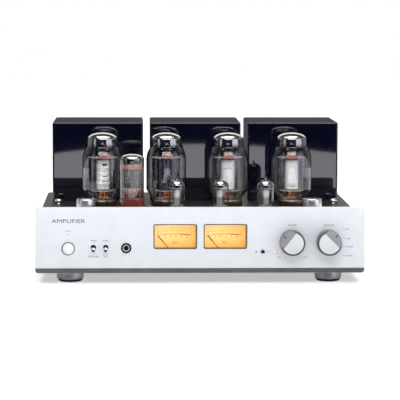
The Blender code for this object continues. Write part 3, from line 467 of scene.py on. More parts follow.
class Build:
    """Collects closed shapes in millimetres, then becomes one piece."""

    def __init__(self):
        self.bm = bmesh.new()
        self.mats = []

    def slot_of(self, mat):
        if mat not in self.mats:
            self.mats.append(mat)
        return self.mats.index(mat)

    def faces(self, rings, mat, close_u=True, loop=False, m=None):
        """Skin rings of points; a ring of one point is an apex or pole."""
        mi = self.slot_of(mat)
        m = m or Matrix()
        vr = [[self.bm.verts.new(m @ Vector(p)) for p in ring] for ring in rings]
        pairs = list(zip(vr[:-1], vr[1:])) + ([(vr[-1], vr[0])] if loop else [])
        for a, b in pairs:
            n = max(len(a), len(b))
            for k in range(n if close_u else n - 1):
                k2 = (k + 1) % n
                if len(a) == 1 and len(b) == 1:
                    continue
                if len(a) == 1:
                    f = (a[0], b[k2], b[k])
                elif len(b) == 1:
                    f = (a[k], a[k2], b[0])
                else:
                    f = (a[k], a[k2], b[k2], b[k])
                self.bm.faces.new(f).material_index = mi
        return vr

    def lathe(self, profile, mat, m=None, segs=48, loop=False):
        rings = []
        for r, z in profile:
            if r < 1e-6:
                rings.append([(0.0, 0.0, z)])
            else:
                rings.append([(r * math.cos(2 * math.pi * k / segs), r * math.sin(2 * math.pi * k / segs), z) for k in range(segs)])
        vr = self.faces(rings, mat, loop=loop, m=m)
        if not loop:
            mi = self.slot_of(mat)
            for end in (vr[0], vr[-1]):
                if len(end) > 1:
                    self.bm.faces.new(end).material_index = mi

    def prism(self, outline, z0, z1, mat, m=None, levels=None):
        """Extrude a closed outline; levels is [(z, scale)] for a swelling body."""
        mi = self.slot_of(mat)
        levels = levels or [(z0, 1.0), (z1, 1.0)]
        vr = self.faces([[(x * s, y * s, z) for x, y in outline] for z, s in levels], mat, m=m)
        self.bm.faces.new(vr[0]).material_index = mi
        self.bm.faces.new(vr[-1]).material_index = mi

    def box(self, lo, hi, mat, bevel=0.0, seg=2, m=None):
        mi = self.slot_of(mat)
        c = [(a + b) / 2 for a, b in zip(lo, hi)]
        d = [b - a for a, b in zip(lo, hi)]
        tmp = bmesh.new()
        bmesh.ops.create_cube(tmp, size=1.0, matrix=Matrix.Translation(c) @ Matrix.Diagonal((*d, 1.0)))
        if bevel:
            bmesh.ops.bevel(tmp, geom=list(tmp.edges), offset=bevel, offset_type='OFFSET', segments=seg, profile=0.5, affect='EDGES', clamp_overlap=True)
        self.take(tmp, mi, m)

    def take(self, other, mi, m=None):
        """Add another bmesh's faces."""
        m = m or Matrix()
        vs = {}
        other.verts.index_update()
        for v in other.verts:
            vs[v.index] = self.bm.verts.new(m @ v.co)
        for f in other.faces:
            try:
                self.bm.faces.new([vs[v.index] for v in f.verts]).material_index = mi
            except ValueError:
                pass
        other.free()

    def rod(self, p0, p1, r, mat, segs=12, r2=None, m=None):
        self.path([p0, p1], r, mat, segs, r2=r2, m=m)

    def path(self, pts, r, mat, segs=8, closed=False, r2=None, m=None):
        """A round wire along points, with flat ends."""
        pts = [Vector(p) for p in pts]
        n = len(pts)
        rings = []
        up = None
        for i, p in enumerate(pts):
            if closed:
                t = (pts[(i + 1) % n] - pts[i - 1]).normalized()
            else:
                t = (pts[min(i + 1, n - 1)] - pts[max(i - 1, 0)]).normalized()
            if up is None:
                up = t.orthogonal().normalized()
            else:
                up = (up - t * up.dot(t)).normalized()
            side = t.cross(up)
            rad = r if r2 is None else r + (r2 - r) * i / (n - 1)
            rings.append([tuple(p + (up * math.cos(2 * math.pi * k / segs) + side * math.sin(2 * math.pi * k / segs)) * rad) for k in range(segs)])
        vr = self.faces(rings, mat, loop=closed, m=m)
        if not closed:
            mi = self.slot_of(mat)
            self.bm.faces.new(vr[0]).material_index = mi
            self.bm.faces.new(vr[-1]).material_index = mi

    def ribbon(self, pts, half, y0, y1, mat, m=None):
        """A flat printed line in the XZ plane, between two depths."""
        n = len(pts)
        L, R = [], []
        for i, (x, z) in enumerate(pts):
            a, b = pts[max(i - 1, 0)], pts[min(i + 1, n - 1)]
            dx, dz = b[0] - a[0], b[1] - a[1]
            d = math.hypot(dx, dz) or 1.0
            L.append((x - dz / d * half, z + dx / d * half))
            R.append((x + dz / d * half, z - dx / d * half))
        rings = [[(x, y0, z), (x2, y0, z2), (x2, y1, z2), (x, y1, z)] for (x, z), (x2, z2) in zip(L, R)]
        vr = self.faces(rings, mat, m=m)
        mi = self.slot_of(mat)
        self.bm.faces.new(vr[0]).material_index = mi
        self.bm.faces.new(vr[-1]).material_index = mi

    def text(self, body, size, mat, m, align='CENTER', thick=0.03, stretch=1.0, bold=0.0):
        """Raised print in local XY, its back on z = 0."""
        cu = bpy.data.curves.new("t", 'FONT')
        cu.body = body
        cu.size = size
        cu.align_x = align
        cu.align_y = 'CENTER'
        cu.extrude = thick / 2
        cu.offset = bold
        cu.resolution_u = 3
        ob = bpy.data.objects.new("t", cu)
        scene.collection.objects.link(ob)
        bpy.context.view_layer.update()
        me = bpy.data.meshes.new_from_object(ob.evaluated_get(bpy.context.evaluated_depsgraph_get()))
        tmp = bmesh.new()
        tmp.from_mesh(me)
        bmesh.ops.remove_doubles(tmp, verts=list(tmp.verts), dist=1e-4)
        bpy.data.objects.remove(ob)
        bpy.data.curves.remove(cu)
        bpy.data.meshes.remove(me)
        tmp.verts.index_update()
        self.take(tmp, self.slot_of(mat), m @ Matrix.Translation((0, 0, thick / 2)) @ Matrix.Diagonal((stretch, 1, 1, 1)))

    def mesh(self, name, angle=35.0):
        bmesh.ops.recalc_face_normals(self.bm, faces=list(self.bm.faces))
        bmesh.ops.transform(self.bm, matrix=Matrix.Diagonal((MM, MM, MM, 1.0)), verts=list(self.bm.verts))
        me = bpy.data.meshes.new(name)
        self.bm.to_mesh(me)
        self.bm.free()
        for mt in self.mats:
            me.materials.append(mt)
        me.shade_smooth()
        me.set_sharp_from_angle(angle=math.radians(angle))
        return me

    def done(self, name, body="root", replaces=(), origin=(0, 0, 0), angle=35.0):
        return place(self.mesh(name, angle), name, body, replaces, origin)


def place(me, name, body="root", replaces=(), origin=(0, 0, 0), rot=None):
    ob = bpy.data.objects.new(name, me)
    scene.collection.objects.link(ob)
    ob.matrix_world = Matrix.Translation(at(*origin)) @ (rot or Matrix())
    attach(ob, body)
    if replaces:
        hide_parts(*replaces)
    return ob


def cut(ob, cutter_build, name):
    """Apply an exact boolean difference to a piece's mesh, then drop the cutter."""
    me = cutter_build.mesh(name)
    c = bpy.data.objects.new(name, me)
    scene.collection.objects.link(c)
    c.matrix_world = ob.matrix_world.copy()
    md = ob.modifiers.new("cut", 'BOOLEAN')
    md.operation = 'DIFFERENCE'
    md.solver = 'EXACT'
    md.object = c
    bake_mods(ob)
    bpy.data.objects.remove(c)
    bpy.data.meshes.remove(me)


def bake_mods(ob, angle=35.0):
    bpy.context.view_layer.update()
    dg = bpy.context.evaluated_depsgraph_get()
    new = bpy.data.meshes.new_from_object(ob.evaluated_get(dg), preserve_all_data_layers=False, depsgraph=dg)
    new.name = ob.name
    ob.modifiers.clear()
    ob.data = new
    new.shade_smooth()
    new.set_sharp_from_angle(angle=math.radians(angle))


def soften(ob, width, segs=2, limit=32.0):
    """Round every hard edge of a piece a little."""
    md = ob.modifiers.new("soften", 'BEVEL')
    md.width = width * MM
    md.segments = segs
    md.limit_method = 'ANGLE'
    md.angle_limit = math.radians(limit)
    md.use_clamp_overlap = True
    bake_mods(ob, 42.0)
    for q in ob.data.polygons:               # large plane faces keep their true normal
        if len(q.vertices) > 4 or q.area > 6.0e-5:
            q.use_smooth = False


# --------------------------------------------------------- CAD sizes, read back
PANEL_W = (PANEL_HI.x - PANEL_LO.x) / MM
PZ0, PZ1 = PANEL_LO.z / MM, PANEL_HI.z / MM
PANEL_T = (PANEL_HI.y - PANEL_LO.y) / MM
DECK = top_mm("chassis")
CHASSIS_LO, CHASSIS_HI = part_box("chassis")
BACK = (CHASSIS_HI.y - Y0) / MM
CHASSIS_HALF = CHASSIS_HI.x / MM
VOL_X, _, KNOB_Z = mid("volume_knob")
SEL_X = mid("selector_knob")[0]
BUT_X, _, BUT_Z = mid("power_button")
TOG_X = (mid("toggle_lever_left")[0], mid("toggle_lever_right")[0])
TOG_Z = 48.8
JACK_X, _, JACK_Z = mid("headphone_jack")
LED_X, LED_Z = -172.0, 65.3
IR_X, IR_Z = 81.6, 43.0
MUTE_X, MUTE_Z = 97.2, 43.0
MET_X = (mid("meter_window_left")[0], mid("meter_window_right")[0])
MET_Z = mid("meter_window_left")[2]
PIVOT_Z = 37.2
TUBES = [mid("power_tube_%d_bulb" % i)[:2] for i in (1, 2, 3, 4)]
OCTAL = mid("rectifier_tube_bulb")[:2]
MINIS = [mid("driver_tube_%d_bulb" % i)[:2] for i in (1, 2, 3)]

# ------------------------------------------------------------ camera and light
cam_data = bpy.data.cameras.new("camera")
cam_data.sensor_width = 36.0
cam_data.lens = 184.5
cam_data.clip_start, cam_data.clip_end = 0.05, 60.0
cam = bpy.data.objects.new("camera", cam_data)
scene.collection.objects.link(cam)
yaw, pitch, roll = 0.0327, 0.10015, 0.0021
look = Vector((math.sin(yaw) * math.cos(pitch), math.cos(yaw) * math.cos(pitch), -math.sin(pitch)))
right = Vector((math.cos(yaw), -math.sin(yaw), 0.0))
upv = right.cross(look)
right2 = right * math.cos(roll) + upv * math.sin(roll)
up2 = upv * math.cos(roll) - right * math.sin(roll)
cam.matrix_world = Matrix.Translation(at(-87.35, -2651.24, 377.40)) @ Matrix((right2, up2, -look)).transposed().to_4x4()
scene.camera = cam
scene.view_settings.view_transform = 'Standard'

world = bpy.data.worlds.new("studio")
scene.world = world
world.use_nodes = True
wt = world.node_tree
wt.nodes.clear()
tc = wt.nodes.new("ShaderNodeTexCoord")
sp = wt.nodes.new("ShaderNodeSeparateXYZ")
wt.links.new(tc.outputs["Generated"], sp.inputs[0])
DX, DY, DZ = sp.outputs
ang = math_node(wt, 'ARCTAN2', math_node(wt, 'ABSOLUTE', DX), math_node(wt, 'MULTIPLY', DY, -1.0))   # 0 in front, pi behind


def window_band(v, a0, a1, b0, b1):
    """1 between a1 and b0, falling to 0 at a0 and b1."""
    up = span(wt, v, a0, a1, 0.0, 1.0)
    down = span(wt, v, b0, b1, 1.0, 0.0)
    return math_node(wt, 'MULTIPLY', up, down, clamp=True)


rad = math.radians
right_side = span(wt, DX, -0.02, 0.02, 0.0, 1.0)
left_side = span(wt, DX, -0.02, 0.02, 1.0, 0.0)
tall = window_band(DZ, -0.30, -0.24, 0.55, 0.70)
near_r = math_node(wt, 'MULTIPLY', math_node(wt, 'MULTIPLY', window_band(ang, rad(30), rad(33), rad(76), rad(80)), tall), right_side)
near_l = math_node(wt, 'MULTIPLY', math_node(wt, 'MULTIPLY', window_band(ang, rad(50), rad(53), rad(66), rad(72)), tall), left_side)
wide = math_node(wt, 'MULTIPLY', window_band(ang, rad(85), rad(89), rad(132), rad(146)), tall)
roof = math_node(wt, 'MULTIPLY', span(wt, DZ, 0.66, 0.84, 0.0, 1.0), span(wt, DY, 0.02, 0.12, 0.0, 1.0))
low_rear = math_node(wt, 'MULTIPLY', window_band(DZ, 0.22, 0.28, 0.46, 0.56), span(wt, DY, 0.72, 0.82, 0.0, 1.0))
rear = math_node(wt, 'MULTIPLY', span(wt, ang, rad(150), rad(156), 0.0, 1.0), window_band(DZ, -0.25, -0.05, 0.4, 0.6))


def blend_colour(fac, a, b):
    n = wt.nodes.new("ShaderNodeMix")
    n.data_type = 'RGBA'
    if isinstance(fac, (int, float)):
        n.inputs[0].default_value = fac
    else:
        wt.links.new(fac, n.inputs[0])
    for sock, v in ((n.inputs[6], a), (n.inputs[7], b)):
        if isinstance(v, tuple):
            sock.default_value = (*v, 1.0)
        else:
            wt.links.new(v, sock)
    return n.outputs[2]


c = blend_colour(near_r, (0.020, 0.023, 0.045), (1.22, 1.28, 1.42))
c = blend_colour(near_l, c, (0.75, 0.77, 0.78))
c = blend_colour(wide, c, (0.30, 0.30, 0.32))
c = blend_colour(rear, c, (0.105, 0.102, 0.108))
c = blend_colour(low_rear, c, (1.45, 1.42, 1.36))
c = blend_colour(roof, c, (0.24, 0.23, 0.21))
lp = wt.nodes.new("ShaderNodeLightPath")
c = blend_colour(lp.outputs["Is Camera Ray"], c, (1.0, 1.0, 1.0))
bg = wt.nodes.new("ShaderNodeBackground")
wt.links.new(c, bg.inputs["Color"])
ow = wt.nodes.new("ShaderNodeOutputWorld")
wt.links.new(bg.outputs[0], ow.inputs["Surface"])


def area(name, loc, target, sx, sy, power, rgb=(1, 1, 1)):
    ld = bpy.data.lights.new(name, 'AREA')
    ld.shape = 'RECTANGLE'
    ld.size, ld.size_y = sx, sy
    ld.energy = power
    ld.color = rgb
    lo = bpy.data.objects.new(name, ld)
    scene.collection.objects.link(lo)
    lo.location = loc
    lo.rotation_mode = 'QUATERNION'
    lo.rotation_quaternion = (Vector(target) - Vector(loc)).to_track_quat('-Z', 'Y')
    lo.visible_camera = False
    return lo


area("key_front_high", (0.0, -2.3, 1.9), (0, -0.1, 0.06), 2.6, 1.0, 46, (0.96, 0.98, 1.0))
area("key_top", (0.0, -0.05, 1.7), (0, 0.0, 0.1), 1.6, 1.1, 22)

# floor: pale, plain, and finite in front of the view
floor_b = Build()
fx = 6000.0
FLOOR = moulded("pale_floor", (0.86, 0.86, 0.86), (0.90, 0.90, 0.90), 0.75, 0.85, grain=300.0, strength=0.02)
fb = FLOOR.node_tree.nodes["Principled BSDF"]
fb.inputs["Emission Color"].default_value = (1, 1, 1, 1)
fb.inputs["Emission Strength"].default_value = 0.5
fb.inputs["Specular IOR Level"].default_value = 0.1
# it glows a little more far behind, as a lit sweep does
fco = FLOOR.node_tree.nodes.new("ShaderNodeTexCoord")
fys = FLOOR.node_tree.nodes.new("ShaderNodeSeparateXYZ")
FLOOR.node_tree.links.new(fco.outputs["Object"], fys.inputs[0])
FLOOR.node_tree.links.new(span(FLOOR.node_tree, fys.outputs[1], 0.6, 2.4, 0.5, 0.98), fb.inputs["Emission Strength"])
# the floor shows only from above, so the underside of the object can be looked at
fnt = FLOOR.node_tree
fgeo = fnt.nodes.new("ShaderNodeNewGeometry")
fsep = fnt.nodes.new("ShaderNodeSeparateXYZ")
fnt.links.new(fgeo.outputs["Normal"], fsep.inputs[0])
fmix = fnt.nodes.new("ShaderNodeMixShader")
fclear = fnt.nodes.new("ShaderNodeBsdfTransparent")
fnt.links.new(math_node(fnt, 'GREATER_THAN', fsep.outputs[2], 0.0), fmix.inputs[0])
fnt.links.new(fclear.outputs[0], fmix.inputs[1])
fnt.links.new(fb.outputs[0], fmix.inputs[2])
fnt.links.new(fmix.outputs[0], fnt.nodes["Material Output"].inputs["Surface"])
floor_b.prism([(-fx, -fx), (fx, -fx), (fx, fx), (-fx, fx)], -20.0, 0.0, FLOOR)
floor = bpy.data.objects.new("floor", floor_b.mesh("floor"))
scene.collection.objects.link(floor)
floor.location = at(0, 0, 0)
floor.visible_glossy = False
floor.visible_transmission = False

# the lit table edge that the gloss covers mirror, in front and out of view
patch_b = Build()
edge = [(62 + d, -2040 + 0.0027 * d * d) for d in range(-600, 601, 50)]
PATCH = moulded("lit_table", (0.5, 0.5, 0.5), (0.55, 0.55, 0.55), 0.7, 0.8)
pb = PATCH.node_tree.nodes["Principled BSDF"]
pb.inputs["Emission Color"].default_value = (0.98, 0.95, 1.0, 1)
pb.inputs["Emission Strength"].default_value = 3.3
patch_b.prism([(900, -890)] + list(reversed(edge)) + [(-900, -890)], 1.0, 3.0, PATCH)
patch = bpy.data.objects.new("lit_table", patch_b.mesh("lit_table"))
scene.collection.objects.link(patch)
patch.location = at(0, 0, 0)
patch.visible_camera = False
patch.visible_diffuse = False
patch.visible_shadow = False
patch.visible_transmission = False

# the white table to each side, as the low chrome parts mirror it
ring_b = Build()
SIDE = moulded("lit_table_side", (0.5, 0.5, 0.5), (0.55, 0.55, 0.55), 0.7, 0.8)
sb_ = SIDE.node_tree.nodes["Principled BSDF"]
sb_.inputs["Emission Color"].default_value = (1.0, 1.0, 1.0, 1)
sb_.inputs["Emission Strength"].default_value = 1.35
for sgn in (-1, 1):
    for r0, r1, t0, t1 in ((420, 1150, 19, 84), (420, 1780, 85, 146)):
        ts = [math.radians(t0 + (t1 - t0) * k / 8) for k in range(9)]
        arc = [(sgn * (150 + r1 * math.sin(t)), 50 - r1 * math.cos(t)) for t in ts]
        arc += [(sgn * (150 + r0 * math.sin(t)), 50 - r0 * math.cos(t)) for t in reversed(ts)]
        ring_b.prism(arc if sgn > 0 else list(reversed(arc)), 1.0, 3.0, SIDE)
side_t = bpy.data.objects.new("lit_table_side", ring_b.mesh("lit_table_side"))
scene.collection.objects.link(side_t)
side_t.location = at(0, 0, 0)
side_t.visible_camera = False
side_t.visible_diffuse = False
side_t.visible_transmission = False
side_t.visible_shadow = False

# ---------------------------------------------------------------- front panel
def rounded(w, h, r, n=8, cx=0.0, cz=0.0):
    """Outline of a rounded rectangle, counter-clockwise."""
    pts = []
    for sx, sz, a in ((1, 1, 0), (-1, 1, 90), (-1, -1, 180), (1, -1, 270)):
        for k in range(n + 1):
            t = math.radians(a + 90.0 * k / n)
            pts.append((cx + sx * (w / 2 - r) + r * math.cos(t), cz + sz * (h / 2 - r) + r * math.sin(t)))
    return pts


def disc(r, n, cx=0.0, cz=0.0):
    return [(cx + r * math.cos(2 * math.pi * k / n), cz + r * math.sin(2 * math.pi * k / n)) for k in range(n)]


ALONG_X = Matrix(((0, 0, 1, 0), (1, 0, 0, 0), (0, 1, 0, 0), (0, 0, 0, 1)))   # outline in YZ, extruded along X

EYE = [(-2.1, -2.0), (2.1, -2.0), (2.5, -1.75), (2.65, -1.2), (2.35, 0.1), (1.7, 1.35), (0.9, 2.15), (0.0, 2.4),
       (-0.9, 2.15), (-1.7, 1.35), (-2.35, 0.1), (-2.65, -1.2), (-2.5, -1.75)]

b = Build()
b.slot_of(ALU)
b.slot_of(ALU_CHAMFER_PAINTED_SHADE)
b.prism(rounded(PANEL_W, PZ1 - PZ0, 3.5, 10, 0.0, (PZ0 + PZ1) / 2), -PANEL_T, 0.0, ALU, m=TO_FRONT)
panel = b.done("front_panel_plate", replaces=("front_panel",))
c = Build()
c.prism([(-30, PZ0 + 7.4 + 44.4), (35, PZ0 - 44.4), (-30, PZ0 - 60)], -240, 240, ALU, m=ALONG_X)
for x, z, r, n in ([(BUT_X, BUT_Z, 8.5, 64), (JACK_X, JACK_Z, 5.4, 48), (VOL_X, KNOB_Z, 5.0, 40), (SEL_X, KNOB_Z, 5.0, 40),
                    (LED_X, LED_Z + 0.35, 1.2, 24), (MUTE_X, MUTE_Z, 2.3, 32)]
                   + [(tx, TOG_Z, 3.4, 40) for tx in TOG_X]):
    c.prism(disc(r, n, x, z), -20, 6, ALU, m=TO_FRONT)
for mx in MET_X:
    c.prism(rounded(57.0, 33.0, 2.7, 8, mx, MET_Z), -20, 6, ALU, m=TO_FRONT)
c.prism([(IR_X + 1.06 * x, IR_Z + 1.06 * z) for x, z in EYE], -20, 6, ALU, m=TO_FRONT)
cut(panel, c, "panel_cutter")
soften(panel, 0.35, 3)
# faces along the lower chamfer take the dark copy: painted shade
shaded_chamfer_normal = Vector((0, -7.4, -5.0)).normalized()
for p in panel.data.polygons:
    p.material_index = 1 if p.normal.dot(shaded_chamfer_normal) > 0.995 else 0

# printing on the panel: generic words, dots and one plain name
b = Build()


def label(s, x, z, size, mat=INK, align='CENTER', stretch=1.0, bold=0.0):
    b.text(s, size, mat, shift(x, -0.006, z) @ TO_FRONT, align=align, stretch=stretch, bold=bold)


def dot(x, z, r=0.55, mat=INK):
    b.prism(disc(r, 20), 0.006, 0.036, mat, m=shift(x, 0, z) @ TO_FRONT)


label("AMPLIFIER", -171.6, 83.2, 7.2, stretch=1.34)
label("POWER", LED_X, 70.4, 2.1, INK_PALE)
label("TRIODE", TOG_X[0], 57.6, 2.3, INK)
label("METERS", TOG_X[1], 57.6, 2.3, INK)
label("ULTRALINEAR", TOG_X[0], 36.6, 2.3, INK)
label("OFF", TOG_X[1], 36.6, 2.3, INK)
label("VOLUME", VOL_X + 0.4, 77.5, 2.9, INK)
label("SELECTOR", SEL_X + 0.3, 77.4, 2.9, INK)
label("MIN", 103.4, 35.5, 2.3, INK)
label("MAX", 137.0, 35.5, 2.3, INK)
dot(109.6, 35.6)
dot(131.0, 35.6)
for k, (word, z) in enumerate((("CD", 72.3), ("LINE", 59.9), ("STREAM", 49.2), ("PHONO", 37.3))):
    dot(187.6, z)
    label(word, 190.3, z, 2.6, INK, align='LEFT')
label("MUTE", 89.6, 43.0, 1.9, INK_PALE)
b.prism(disc(1.2, 24), 0.006, 0.03, INK_PALE, m=shift(72.9, 0, 43.0) @ TO_FRONT)
b.done("panel_printing")

# -------------------------------------------------------------------- knobs
def knob(node, body, kx, pointer):
    R, D = 16.2, 20.0
    b = Build()
    for mt in (KNOB_RIM_PAINTED_SHADE, KNOB_FACE, KNOB_FACET_PAINTED_SHADE, KNOB_WALL_PAINTED_SHADE):
        b.slot_of(mt)
    prof = [(0, D), (13.9, D), (14.3, D - 0.08), (14.55, D - 0.30), (R - 0.12, D - 1.45), (R, D - 1.75), (R, 10.0), (R, 3.2), (R - 0.10, 3.0), (R - 0.35, 2.85),
            (R - 0.35, 2.35), (R - 0.10, 2.2), (R, 2.0), (R, 1.0), (R - 0.4, 0.55), (14.0, 0.5), (3.0, 0.5), (3.0, -20.0), (0, -20.0)]
    b.lathe(prof, KNOB_RIM_PAINTED_SHADE, segs=128)
    ob = place(b.mesh(node + "_turned"), node + "_turned", "root", (), (kx, 0, KNOB_Z))
    p = math.radians(pointer)
    tilt = math.radians(13.0)
    n = Vector((math.sin(tilt) * math.cos(p), math.sin(tilt) * math.sin(p), math.cos(tilt)))
    d = Vector((math.cos(p), math.sin(p), 0.0))
    chord = d * (0.30 * R) + Vector((0, 0, D))
    u = Vector((-math.sin(p), math.cos(p), 0.0))
    w = u.cross(n)
    fr = Matrix((u, w, n)).transposed().to_4x4()
    c = Build()
    c.box((-25, -25, 0), (25, 25, 12), KNOB_FACET_PAINTED_SHADE, m=Matrix.Translation(chord) @ fr)
    cut(ob, c, "facet_cutter")
    soften(ob, 0.18, 2, 11.0)
    # the facet, the rim and the low side wall take the darker copies that paint shade on the knob
    for q in ob.data.polygons:
        if q.normal.dot(n) > 0.9995 and q.center.z > 0.012:
            q.material_index = 2
        elif q.normal.z > 0.9995 and q.center.z > 0.012:
            q.material_index = 1
        else:
            q.material_index = 3 if abs(q.normal.z) < 0.3 and q.center.z < 0.0184 else 0
    ob.matrix_world = Matrix.Translation(at(kx, 0, KNOB_Z)) @ TO_FRONT
    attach(ob, body)
    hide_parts(node)
    # black pointer line let into the facet
    b = Build()
    out = -w if (-w).dot(d) > 0 else w
    m2 = Matrix.Translation(chord + out * 8.7) @ fr
    b.box((-0.65, -2.35, -0.25), (0.65, 2.35, 0.04), GLOSS_BLACK, bevel=0.1, m=m2)
    line = place(b.mesh(node + "_pointer"), node + "_pointer", body, (), (kx, 0, KNOB_Z))
    line.matrix_world = Matrix.Translation(at(kx, 0, KNOB_Z)) @ TO_FRONT
    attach(line, body)


knob("volume_knob", "volume_knob", VOL_X, 142.0)
knob("selector_knob", "selector_knob", SEL_X, 45.0)


def front_piece(b, name, x, z, body="root", replaces=(), tilt=0.0, y=0.0):
    ob = place(b.mesh(name), name, body, replaces, (x, y, z))
    ob.matrix_world = Matrix.Translation(at(x, y, z)) @ Matrix.Rotation(math.radians(tilt), 4, 'X') @ TO_FRONT
    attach(ob, body)
    return ob


# painted shadow: thin black rings behind the knobs, standing in for the shade there
for nm, kx in (("volume", VOL_X), ("selector", SEL_X)):
    b = Build()
    b.lathe([(15.2, 0.42), (15.2, 0.05), (5.2, 0.05), (5.2, 0.42)], PLASTIC, segs=96, loop=True)
    front_piece(b, nm + "_knob_painted_shadow_ring", kx, KNOB_Z)

# -------------------------------------------------------------- power button
b = Build()
b.lathe([(0, 4.55), (1.6, 4.52), (3.2, 4.40), (4.8, 4.15), (6.0, 3.75), (6.8, 3.25), (7.2, 2.7), (7.35, 2.1), (7.4, 1.4), (7.4, -6.0), (2.5, -6.0), (2.5, -11.4), (0, -11.4)], BUTTON, segs=72)
front_piece(b, "power_button_cap", BUT_X, BUT_Z, "power_button", ("power_button",))
b = Build()
b.lathe([(8.42, 0.25), (8.42, -4.0), (7.62, -4.0), (7.62, 0.05), (7.8, 0.25)], PLASTIC, segs=72, loop=True)
front_piece(b, "power_button_collar", BUT_X, BUT_Z)

# the small triangular pilot light above the button
tri = [(-2.75, 1.7), (2.75, 1.7), (0, -1.7)]
b = Build()
b.prism(tri, 0.01, 0.12, moulded("pilot_lens", (0.80, 0.66, 0.62), (0.86, 0.72, 0.68), 0.15, 0.25, grain=500.0))
front_piece(b, "power_pilot_lens", LED_X, LED_Z)

# ------------------------------------------------------------------- toggles
bat = spline([(0.0, 13.6), (1.0, 13.45), (1.8, 13.15), (2.5, 12.5), (2.9, 11.7), (3.05, 10.6), (2.95, 9.5), (2.5, 7.9), (1.9, 5.4), (1.3, 3.0), (1.15, 2.0), (1.5, 0.9), (1.72, 0.2), (1.5, -0.9), (0.8, -1.55), (0.0, -1.7)], 4)
for side, tx, body in (("left", TOG_X[0], "toggle_left"), ("right", TOG_X[1], "toggle_right")):
    b = Build()
    b.lathe(bat, CHROME, segs=40)
    front_piece(b, "toggle_%s_bat" % side, tx, TOG_Z, body, ("toggle_lever_" + side,), tilt=12.5, y=3.0)
    b = Build()
    b.lathe([(3.32, 0.5), (3.32, -1.1), (2.40, -1.1), (2.40, 0.2), (2.62, 0.5)], GLOSS_BLACK, segs=48, loop=True)
    front_piece(b, "toggle_%s_bushing_ring" % side, tx, TOG_Z)

# ------------------------------------------------- switches and their board
b = Build()
b.box((-186, 27.0, 30.0), (-112, 28.6, 78.0), BOARD, 0.2)
b.box((BUT_X - 7, 15.2, BUT_Z - 7), (BUT_X + 7, 26.9, BUT_Z + 7), WHITE_CAP, 0.5)
for tx in TOG_X:
    b.box((tx - 6.2, 9.4, TOG_Z - 6.4), (tx + 6.2, 26.9, TOG_Z + 6.4), PLASTIC, 0.4)
    b.lathe([(3.05, -1.2), (3.05, -9.3), (2.35, -9.3), (2.35, -1.2)], STEELB, m=shift(tx, 0, TOG_Z) @ TO_FRONT, segs=36, loop=True)
b.lathe([(0, -0.5), (0.7, -0.6), (1.0, -0.9), (1.0, -26.9), (0, -26.9)], WHITE_CAP, m=shift(LED_X, 0, LED_Z + 0.35) @ TO_FRONT, segs=28)
b.done("switch_board", replaces=("control_board",))

# ------------------------------------------------------------ headphone jack
b = Build()
b.lathe([(4.62, 1.1), (4.8, 1.55), (5.5, 1.65), (6.3, 1.45), (6.75, 0.95), (6.85, 0.35), (5.3, 0.32), (5.3, -8.9), (4.62, -8.9)], GLOSS_BLACK, segs=64, loop=True)
b.lathe([(3.28, 1.3), (3.5, 1.62), (4.3, 1.62), (4.56, 1.3), (4.56, 0.2), (3.28, 0.2)], JACK_LIP, segs=64, loop=True)
b.lathe([(3.3, 0.12), (4.54, 0.12), (4.54, -8.0), (3.3, -8.0)], PLASTIC, segs=64, loop=True)
b.lathe([(3.3, -8.2), (8.5, -9.0), (8.5, -29.0), (0.0, -29.0), (0.0, -26.0), (3.3, -26.0)], PLASTIC, segs=48)
front_piece(b, "headphone_jack_socket", JACK_X, JACK_Z, replaces=("headphone_jack",))

# ------------------------------------------------------ remote eye and light
b = Build()
b.box((IR_X - 7.5, 12.0, MUTE_Z - 8.0), (MUTE_X + 5.0, 13.6, MUTE_Z + 8.0), BOARD, 0.2)
# domed dark window with a flat lower edge
b.prism(EYE, 0, 0, GLOSS_BLACK, m=shift(IR_X, 0, IR_Z) @ TO_FRONT,
        levels=[(-11.8, 0.9), (-0.1, 0.9), (-0.1, 1.0), (0.9, 1.0), (1.45, 0.93), (1.8, 0.75), (1.95, 0.4)])
b.lathe([(0, 0.55), (0.8, 0.50), (1.4, 0.32), (1.82, 0.02), (1.85, -0.4), (1.85, -11.9), (0, -11.9)], LED_WHITE, m=shift(MUTE_X, 0, MUTE_Z) @ TO_FRONT, segs=32)
b.lathe([(1.92, 0.15), (2.05, 0.38), (2.32, 0.38), (2.6, 0.05), (2.22, 0.03), (2.22, -2.0), (1.92, -2.0)], MUTE_RING, m=shift(MUTE_X, 0, MUTE_Z) @ TO_FRONT, segs=40, loop=True)
b.done("remote_eye_board", replaces=("remote_receiver",))

